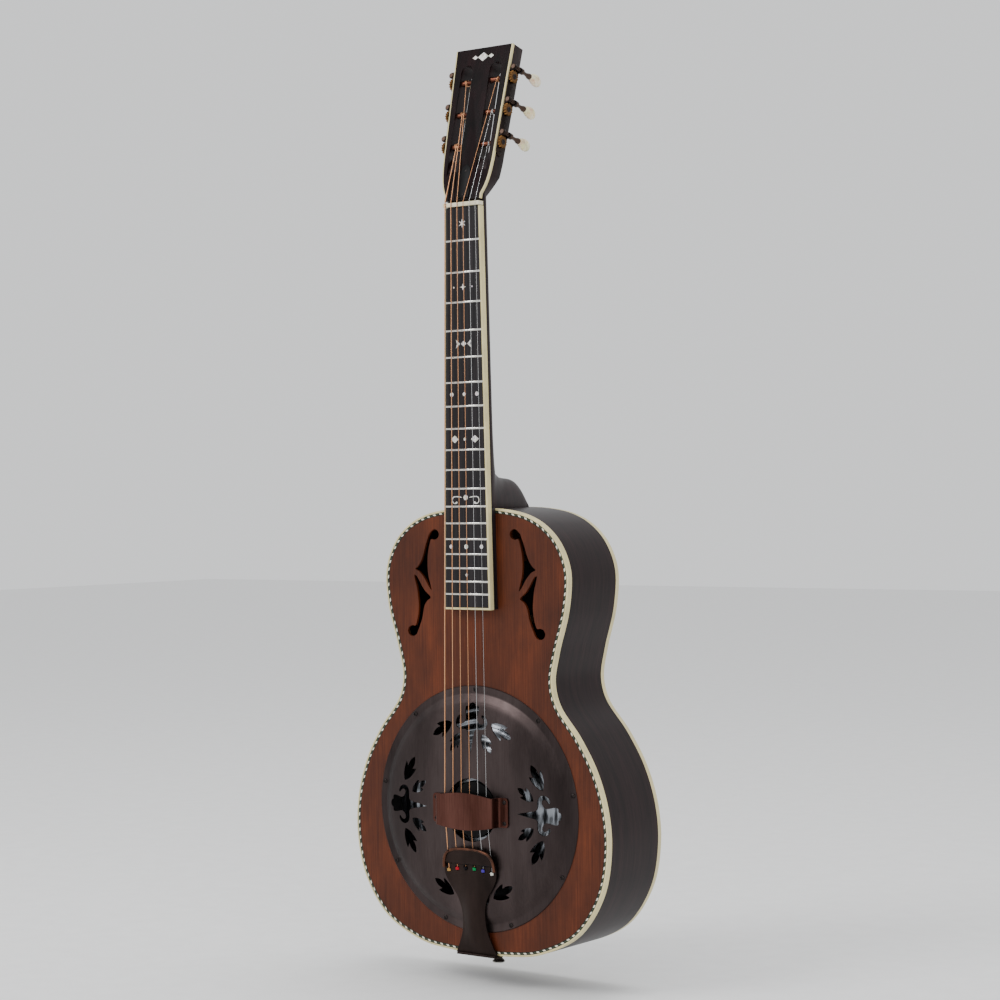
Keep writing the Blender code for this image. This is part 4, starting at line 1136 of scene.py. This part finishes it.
def build_headstock():
    """The headstock's veneer, side bindings and inlay, and the cover over the truss rod."""
    veneer = make_object(plate(head_outline(HEAD_EDGING + 0.02), 0.0, VENEER), "headstock_veneer", HEAD)
    for cut in (head_slots(), head_ramps()):
        carve(veneer, make_object(cut, "veneer_cut", HEAD))
    settle(veneer, finish("veneer"), "head_veneer", replaces=("head_veneer",))
    strips = []
    for side in (-1, 1):
        section = ((-0.15, 2.75), (-0.15, 0.35), (0.25, -0.05), (HEAD_EDGING, -0.05), (HEAD_EDGING, 2.75))
        rows = [[(side * (x - distance), y, z) for distance, y in section] for x, z in head_side()]
        strips.append(skin(rows, cap=True))
    make_piece(gather(strips), "headstock_binding", finish("binding"), "cream_binding", HEAD,
               replaces=("head_binding",), sharp=50)
    shapes = [diamond(0, 163.0, 7.0, 5.0), diamond(-10.5, 163.0, 3.6, 2.4), diamond(10.5, 163.0, 3.6, 2.4)]
    inlay = gather([plate(points, -0.05, 0.3) for points in shapes])
    make_piece(inlay, "headstock_inlay", finish("pearl"), "nut_bone", HEAD)

    half = ((8.0, 4.0), (8.0, 12.0), (5.2, 22.0), (6.4, 30.0), (5.0, 37.0), (0.6, 41.0))
    bell = mirrored([half[0], *smooth_points(half[1:], 6, closed=False)])
    cover = soften(plate(bell, -1.0, -0.05), 0.25, 2, 50)
    make_piece(cover, "truss_cover_bell", finish("plastic"), "cover_plastic", HEAD,
               replaces=("truss_rod_cover",))
    screws = [placed(screw_head(1.4, 0.5), Matrix.Translation((0, -1.0, z))) for z in (8.0, 34.0)]
    make_piece(gather(screws), "truss_cover_screws", finish("screw"), "cover_plastic", HEAD)
    dress_node("truss_rod", finish("steel"))


def diamond(x, z, half_x, half_z):
    return [(x + half_x, z), (x, z + half_z), (x - half_x, z), (x, z - half_z)]


def star(x, z, outer, inner, points=4):
    return [(x + r * math.sin(a), z + r * math.cos(a)) for i in range(points * 2)
            for r, a in ((outer if i % 2 == 0 else inner, math.pi * i / points),)]


def curl(side, z):
    """A thin stem drawn out sideways, its end hooked round to a small ball."""
    line = [(4.8, 0.0), (7.5, 0.6), (10.5, 1.0)]
    for step in range(13):
        angle = math.radians(90 - 20 * step)
        line.append((14.2 + 3.4 * math.cos(angle), -2.6 + 3.6 * math.sin(angle)))
    widths = [0.5] * len(line)
    widths[0] = 0.15
    widths[-3:] = (0.9, 1.1, 0.6)
    return ribbon([(side * x, z + rise) for x, rise in line], widths)


def build_fingerboard():
    """The board with its frets, binding, riser, inlays and nut."""
    edge = TRIM + GLUE_GAP
    upper, lower = NUT_Z - 0.3, BOARD_END_Z + edge
    corners = ((-1, upper), (1, upper), (1, lower), (-1, lower))
    board = [[(side * (neck_half(z) - edge), y, z) for side, z in corners]
             for y in (BOARD_Y, BOARD_Y + BOARD_THICK)]
    make_piece(skin(board, cap=True), "ebony_fingerboard", finish("ebony"), "ebony",
               replaces=("fingerboard",))

    crowns = []
    for number in range(1, FRET_COUNT + 1):
        z = fret_z(number)
        half = neck_half(z) - edge + 0.1
        crown = [(1.1 * math.cos(math.pi * i / 10), -1.0 * math.sin(math.pi * i / 10)) for i in range(11)]
        rows = [[(x, BOARD_Y + y * tall + 0.02, z + w) for w, y in crown]
                for x, tall in ((-half, 0.15), (-half + 0.7, 1.0), (half - 0.7, 1.0), (half, 0.15))]
        crowns.append(skin(rows, cap=True))
    make_piece(gather(crowns), "fret_wires", finish("fret"), "ebony", sharp=60)

    strips = []
    for distance, y in ((0.0, BOARD_Y + 0.3), (0.3, BOARD_Y), (TRIM, BOARD_Y), (TRIM, BOARD_Y + BOARD_THICK),
                        (0.0, BOARD_Y + BOARD_THICK)):
        top, foot = neck_half(upper) - distance, neck_half(BOARD_END_Z) - distance
        low = BOARD_END_Z + distance
        strips.append([(top, y, upper), (foot, y, low), (-foot, y, low), (-top, y, upper)])
    binding = skin(strips, loop_rows=False, close_rows=True)
    bmesh.ops.holes_fill(binding, edges=[e for e in binding.edges if e.is_boundary], sides=8)
    make_piece(binding, "fingerboard_edging", finish("binding"), "cream_binding",
               replaces=("fingerboard_binding",), sharp=50)

    make_piece(riser_shape(), "ebony_riser", finish("ebony"), "ebony", replaces=("fingerboard_riser",))
    build_inlays()
    build_nut()


def riser_shape():
    top, end = BODY_TOP_Z - 0.3, BOARD_END_Z + 0.5
    return soften(plate([(neck_half(top), top), (neck_half(end), end), (-neck_half(end), end),
                         (-neck_half(top), top)], BOARD_Y + BOARD_THICK + 0.02, -0.02), 0.3)


def build_inlays():
    """Shell set level with the board, between the frets where players look for them."""
    def middle(number):
        return (fret_z(number) + fret_z(number - 1)) / 2

    shapes = [star(0, middle(1), 5.0, 1.7, 6), star(0, middle(3), 4.0, 1.2, 4),
              diamond(0, middle(5), 3.6, 3.0), circle(0, middle(12), 2.8), star(0, middle(17), 2.2, 0.9, 4)]
    for side in (-1, 1):
        z = middle(5)
        arrow = [(side * 4.8, z), (side * 10.3, z + 4.7), (side * 8.6, z), (side * 10.3, z - 4.7)]
        shapes += [circle(side * 12, middle(3), 0.9), arrow, circle(side * 16.5, middle(7), 2.2),
                   diamond(side * 13.3, middle(9), 5.2, 3.9), curl(side, middle(12)),
                   circle(side * 20, middle(15), 2.2)]
    shapes += [circle(0, middle(7), 2.0), circle(0, middle(9), 1.6), circle(0, middle(15), 2.5)]
    inlays = [plate(points, BOARD_Y - 0.04, BOARD_Y + 0.4) for points in shapes]
    make_piece(gather(inlays), "fingerboard_inlays", finish("pearl"), "ebony")
    dots = []
    for number in (3, 5, 7, 9, 12, 15, 17):
        z = middle(number)
        for shift in ((-2.5, 2.5) if number == 12 else (0.0,)):
            x, y = -neck_half(z), BOARD_Y + BOARD_THICK / 2 - 0.05
            dots.append(tube([(x - 0.06, y, z + shift), (x + 0.5, y, z + shift)], 0.9, 16))
    make_piece(gather(dots), "side_dots", finish("plastic"), "ebony")


def build_nut():
    """A block of bone, grooved for the strings."""
    low, high = span("nut")
    nut = make_object(soften(bar(low, high), 0.6, 3), "bone_nut")
    slots = string_slots(NUT_PITCH, lambda radius: NUT_STRING_Y - radius * 0.4, low.z, high.z)
    carve(nut, make_object(slots, "nut_cuts"))
    settle(nut, finish("bone"), "nut_bone", replaces=("nut",))


# ---------------------------------------------------------------- tuners

def worm_x(row):
    return edge_x(row) + WORM_OUT


def faced_out(side):
    """Turns what faces -Y so that it faces out of the headstock's side."""
    return Matrix.Rotation(math.radians(90) * side, 4, "Z")


def build_tuner_plates():
    """Long side strips with two ears for each worm, held by small screws."""
    for side, name in ((-1, "bass"), (1, "treble")):
        strip = stadium(8.25, 50.0, 152.0, 6.75, 8)
        bm = plate(strip, 0.0, 1.2)
        soften(bm, 0.25, 2, 50)
        # the strip is drawn as (depth, height); stand it on the headstock's edge
        for vert in bm.verts:
            depth, out, height = vert.co.x, vert.co.y, vert.co.z
            vert.co = (side * (edge_x(height) + 0.3 + out), depth, height)
        parts = [bm]
        screws = []
        for row in POST_ROWS:
            x, z = worm_x(row), row + WORM_RISE
            for y in (2.0, 12.6):
                parts.append(worm_ear(side, edge_x(z) + 0.9, x, y, z))
        for height in (54.5, 83.0, 89.0, 119.0, 125.5, 149.5):
            place = Matrix.Translation((side * (edge_x(height) + 1.5), 8.25, height))
            screws.append(placed(screw_head(1.7, 0.8), place @ faced_out(side)))
        make_piece(gather(parts), f"{name}_tuner_strip", finish("tuner_plate"), "dark_bronze", HEAD,
                   replaces=(f"tuner_plate_{name}",))
        make_piece(gather(screws), f"{name}_tuner_screws", finish("screw"), "dark_bronze", HEAD)


def worm_ear(side, near, x, y, z):
    """A rounded lug round the worm shaft, standing out of the strip."""
    shaft, radius = 1.8, 3.3
    outline = [(x + radius * math.cos(a), z + radius * math.sin(a))
               for a in (math.radians(-90 + 180 * i / 14) for i in range(15))]
    outline += [(near, z + radius), (near, z - radius)]
    bm = bmesh.new()
    faces = pierced_sheet(bm, outline, [circle(x, z, shaft, 20)], y)
    thicken(bm, faces, 2.2)
    if side < 0:
        bmesh.ops.scale(bm, vec=(-1, 1, 1), verts=bm.verts)
    return bm


def gear_wheel(side, row):
    """A toothed wheel on the end of the post, with a slotted screw in its middle."""
    x = edge_x(row) + 2.1
    outline = []
    for tooth in range(GEAR_TEETH):
        for part, radius in ((0.02, 5.7), (0.20, 6.9), (0.46, 6.9), (0.64, 5.7)):
            angle = math.tau * (tooth + part) / GEAR_TEETH
            outline.append((radius * math.cos(angle), radius * math.sin(angle)))
    bm = bmesh.new()
    thicken(bm, [flat_face(bm, outline)], 3.0)
    soften(bm, 0.2, 1, 50)
    bm.transform(Matrix.Translation((side * x, 0, 0)) @ Matrix.Rotation(math.radians(-90) * side, 4, "Z"))
    return bm


def build_tuners():
    """Each string's post with its gear and windings, and the worm that drives it."""
    for name, radius, place, row_index, post_x in STRINGS:
        side = -1 if place < 0 else 1
        row = POST_ROWS[row_index]
        axis = HEAD @ Matrix.Translation((0, POST_DEEP, row))
        inner, outer = 6.5, edge_x(row) + 2.0
        waist = [(0, inner), (2.7, inner), (POST_RADIUS, inner + 0.5), (POST_RADIUS, 12.6),
                 (POST_WAIST, 13.6), (POST_WAIST, 26.0), (POST_RADIUS, 26.8), (POST_RADIUS, outer), (0, outer)]
        to_x = Matrix.Rotation(math.radians(-90) * side, 4, "Z")
        body = f"post_{name}"
        post = turned(waist, 40)
        make_piece(post, f"string_post_{name}", finish("tuner"), "tuner_copper", axis @ to_x, body=body,
                   replaces=(f"tuner_post_{name}",))
        make_piece(gear_wheel(side, row), f"gear_wheel_{name}", finish("gear"), "tuner_copper", axis,
                   body=body)
        gear_face = axis @ Matrix.Translation((side * (edge_x(row) + 5.1), 0, 0)) @ faced_out(side)
        make_piece(screw_head(3.0, 1.4), f"gear_screw_{name}", finish("screw"), "tuner_copper", gear_face,
                   body=body)
        wraps = []
        turns = 3.0 if radius > 0.3 else 4.5
        steps = int(turns * 20)
        pitch = radius * 2.15
        start_angle = math.radians(180)
        for step in range(steps + 1):
            angle = start_angle + math.tau * turns * step / steps
            reach = POST_WAIST + radius + 0.02
            x = side * (post_x - pitch * turns * 0.5 + pitch * turns * step / steps)
            wraps.append((x, reach * math.cos(angle), reach * math.sin(angle)))
        make_piece(tube(wraps, radius, 10), f"string_wraps_{name}", wire(radius), string_slot(radius), axis,
                   body=body)
        build_worm(name, side, row)


def build_worm(name, side, row):
    """Worm shaft along the headstock's thickness, and its moulded button."""
    place = HEAD @ Matrix.Translation((side * worm_x(row), 0, row + WORM_RISE))
    body = f"button_{name}"
    shaft = [(0, 0.8), (2.2, 0.8), (2.6, 1.1), (2.6, 1.7), (1.5, 1.8), (1.5, 4.5), (1.9, 4.6), (1.9, 12.3),
             (1.5, 12.4), (1.5, 15.1), (2.9, 15.15), (3.3, 15.6), (3.3, 17.8), (2.9, 18.4), (2.2, 19.3),
             (1.9, 21.0), (1.9, 24.5), (2.3, 26.3), (2.9, 28.0), (3.2, 29.2), (3.2, 31.0), (0, 31.0)]
    make_piece(turned(shaft, 36), f"worm_arbor_{name}", finish("arbor"), "tuner_copper", place, body=body,
               replaces=(f"worm_shaft_{name}",))
    turns, steps = 3.0, 72
    thread = []
    for step in range(steps + 1):
        angle = math.tau * turns * step / steps
        thread.append((2.1 * math.cos(angle), 5.2 + 6.4 * step / steps, 2.1 * math.sin(angle)))
    make_piece(tube(thread, 0.55, 8), f"worm_thread_{name}", finish("arbor"), "tuner_copper", place,
               body=body)
    profile = [(0, 31.3), (2.9, 31.3), (3.5, 31.9), (4.4, 33.6), (5.6, 36.6), (6.4, 39.8), (6.6, 42.4),
               (6.1, 45.4), (4.9, 48.0), (3.0, 49.6), (1.2, 50.0), (0, 50.0)]
    knob = turned(profile, 48)
    bmesh.ops.scale(knob, vec=(0.64, 1.0, 1.0), verts=knob.verts)
    make_piece(knob, f"pearloid_button_{name}", finish("button"), "pearl_button", place, body=body,
               replaces=(f"tuning_button_{name}",), sharp=60)


# ---------------------------------------------------------------- strings

def wire(radius):
    return finish("bronze_wire" if radius > 0.3 else "plain_wire")


def string_slot(radius):
    return "wound_bronze" if radius > 0.3 else "plain_steel"


def build_strings():
    """Each string runs from its ball end under the tailpiece's lip, over saddle and nut, to its post."""
    for name, radius, place, row, post_x in STRINGS:
        side = -1 if place < 0 else 1
        anchor = TAIL @ Vector((place * TAIL_PITCH / 2, -0.75, tail_hole_s(place) + 1.4))
        saddle = Vector((place * SADDLE_PITCH / 2, SADDLE_STRING_Y - radius, SADDLE_Z))
        nut = Vector((place * NUT_PITCH / 2, NUT_STRING_Y - radius, NUT_Z))
        over = POST_DEEP - POST_RADIUS - radius + 0.35
        post = HEAD @ Vector((side * (post_x - 1.6 * radius), over, POST_ROWS[row]))
        points = [anchor, saddle - Vector((0, 0, 1.5)), saddle + Vector((0, 0, 1.5)), nut,
                  nut + Vector((0, 0.05, 4.4)), post]
        path = [points[0]]
        for start, end in zip(points, points[1:]):
            count = max(1, int((end - start).length / 40))
            path += [start.lerp(end, step / count) for step in range(1, count + 1)]
        make_piece(tube(path, radius, 12), f"guitar_string_{name}", wire(radius), string_slot(radius),
                   replaces=(f"string_{name}",), sharp=80)


# ---------------------------------------------------------------- stage

def build_stage(settings):
    """Pale floor, even studio light and the camera."""
    floor_mesh = bmesh.new()
    bmesh.ops.create_grid(floor_mesh, x_segments=1, y_segments=1, size=9.0)
    bmesh.ops.translate(floor_mesh, verts=floor_mesh.verts, vec=(0, 0, settings.floor_height))
    mesh = bpy.data.meshes.new("studio_floor")
    floor_mesh.to_mesh(mesh)
    floor_mesh.free()
    floor = bpy.data.objects.new("studio_floor", mesh)
    bpy.context.scene.collection.objects.link(floor)
    paper, shader = start_material("studio_paper_matt", Roughness=0.9)
    speck = streaks(paper, 30.0, 1.0)
    feed(paper, shader, Base_Color=add_node(paper, "ValToRGB", {"Fac": speck},
                                            stops=((0.3, "#ECECEC"), (0.7, "#F1F1F1"))).outputs["Color"])
    mesh.materials.append(paper)

    world = bpy.data.worlds.new("studio_room")
    world.use_nodes = True
    world.node_tree.nodes["Background"].inputs["Color"].default_value = (0.93, 0.94, 0.95, 1.0)
    world.node_tree.nodes["Background"].inputs["Strength"].default_value = settings.room_light
    bpy.context.scene.world = world

    for name, place, size, power in (("key_softbox", (-1.2, -2.6, 1.6), 1.6, 60.0),
                                     ("fill_softbox", (2.6, -1.6, 0.4), 1.2, 12.0),
                                     ("top_softbox", (0.6, 0.4, 2.2), 1.4, 25.0)):
        data = bpy.data.lights.new(name, "AREA")
        data.shape = "DISK"
        data.size = size
        data.energy = power * settings.lamp_power
        lamp = bpy.data.objects.new(name, data)
        lamp.location = place
        aim = Vector((0, 0, -0.4)) - Vector(place)
        lamp.rotation_euler = aim.to_track_quat("-Z", "Y").to_euler()
        bpy.context.scene.collection.objects.link(lamp)


def place_camera(settings):
    """A long lens from the treble side, level with the middle of the guitar."""
    data = bpy.data.cameras.new("portrait_camera")
    data.lens = settings.focal_length
    data.sensor_width = 36.0
    camera = bpy.data.objects.new("portrait_camera", data)
    forward = Vector((-0.59727, 0.80203, -0.00246)).normalized()
    up = Vector((0.00898, 0.00975, 0.99991))
    right = forward.cross(up).normalized()
    turn = Matrix((right, right.cross(forward), -forward)).transposed().to_4x4()
    camera.matrix_world = Matrix.Translation((1.4976, -1.9641, -0.3200)) @ turn
    bpy.context.scene.collection.objects.link(camera)
    bpy.context.scene.camera = camera


# ---------------------------------------------------------------- add-on

def stain(label, note, code):
    """A colour setting with an sRGB hex default."""
    return FloatVectorProperty(name=label, description=note, subtype="COLOR", size=4, min=0.0, max=1.0,
                               default=linear(code))


class GuitarFinish(bpy.types.PropertyGroup):
    top_stain: stain("Top Stain", "Stain on the soundboard", "#50230C")
    side_stain: stain("Side Stain", "Stain on the sides, the back and the neck", "#1D0F10")
    binding_tint: stain("Binding", "Colour of the celluloid bindings", "#D8CB98")
    cover_tone: stain("Cover", "Colour of the cover's blackened plate", "#4A403F")
    grain_strength: FloatProperty(name="Grain", description="How strongly the top's grain shows",
                                  default=0.55, min=0.0, max=1.0, subtype="FACTOR")
    rope_repeat: FloatProperty(name="Rope Repeat", description="Length of one slip of rope, in millimetres",
                               default=8.5, min=2.0, max=30.0)


class StudioSettings(bpy.types.PropertyGroup):
    floor_height: FloatProperty(name="Floor Height", description="Height of the studio floor",
                                default=-0.84, unit="LENGTH")
    room_light: FloatProperty(name="Room Light", description="Strength of the even light all round",
                              default=1.05, min=0.0)
    lamp_power: FloatProperty(name="Lamp Power", description="Multiplies the power of the soft lamps",
                              default=1.0, min=0.0)
    focal_length: FloatProperty(name="Focal Length", description="Focal length of the lens, in millimetres",
                                default=84.44, unit="CAMERA")


def piece_operator(name, label, note, *steps):
    """An operator class that runs the given building steps."""
    def execute(self, context):
        for step in steps:
            step()
        return {"FINISHED"}
    return type("GUITAR_OT_" + name, (bpy.types.Operator,), {
        "bl_idname": "guitar." + name, "bl_label": label, "__doc__": note, "execute": execute})


class GUITAR_OT_studio(bpy.types.Operator):
    """Add the floor, the lights and the camera"""
    bl_idname = "guitar.studio"
    bl_label = "Studio"

    def execute(self, context):
        settings = context.scene.guitar_studio
        place_camera(settings)
        build_stage(settings)
        return {"FINISHED"}


OPERATORS = (
    piece_operator("body_top", "Soundboard", "Make the soundboard and its rope purfling", build_soundboard),
    piece_operator("body_shell", "Body Shell", "Make the sides, the back and the bindings", build_bindings,
                   build_sides, build_back),
    piece_operator("cover", "Cover", "Make the pierced cover and its screws", build_cover),
    piece_operator("cone", "Cone", "Make the cone, the biscuit and the saddle", build_cone, build_biscuit),
    piece_operator("hand_rest", "Hand Rest", "Make the strap over the saddle", build_hand_rest),
    piece_operator("tailpiece", "Tailpiece", "Make the tailpiece, ball ends and strap button",
                   build_tailpiece, build_strap_button),
    piece_operator("neck", "Neck", "Make the neck and heel", build_neck),
    piece_operator("headstock", "Headstock", "Make the headstock's veneer and trim", build_headstock),
    piece_operator("fingerboard", "Fingerboard", "Make the fingerboard, frets, inlays and nut",
                   build_fingerboard),
    piece_operator("tuners", "Tuners", "Make the six tuners", build_tuner_plates, build_tuners),
    piece_operator("strings", "Strings", "Make the six strings", build_strings),
    GUITAR_OT_studio,
)


class GUITAR_PT_pieces(bpy.types.Panel):
    """Lists the pieces in building order"""
    bl_idname = "GUITAR_PT_pieces"
    bl_label = "Resonator Guitar"
    bl_space_type = "VIEW_3D"
    bl_region_type = "UI"
    bl_category = "Guitar"

    def draw(self, context):
        column = self.layout.column(align=True)
        for operator in OPERATORS:
            column.operator(operator.bl_idname)
        for settings in (context.scene.guitar_finish, context.scene.guitar_studio):
            for name in settings.bl_rna.properties.keys():
                if name not in ("rna_type", "name"):
                    self.layout.prop(settings, name)


CLASSES = (GuitarFinish, StudioSettings, *OPERATORS, GUITAR_PT_pieces)


def register():
    for made in CLASSES:
        bpy.utils.register_class(made)
    bpy.types.Scene.guitar_finish = PointerProperty(type=GuitarFinish)
    bpy.types.Scene.guitar_studio = PointerProperty(type=StudioSettings)


def unregister():
    del bpy.types.Scene.guitar_studio
    del bpy.types.Scene.guitar_finish
    for made in reversed(CLASSES):
        bpy.utils.unregister_class(made)


def main():
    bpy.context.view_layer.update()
    register()
    for operator in OPERATORS:
        group, name = operator.bl_idname.split(".")
        getattr(getattr(bpy.ops, group), name)()


if __name__ == "__main__":
    main()
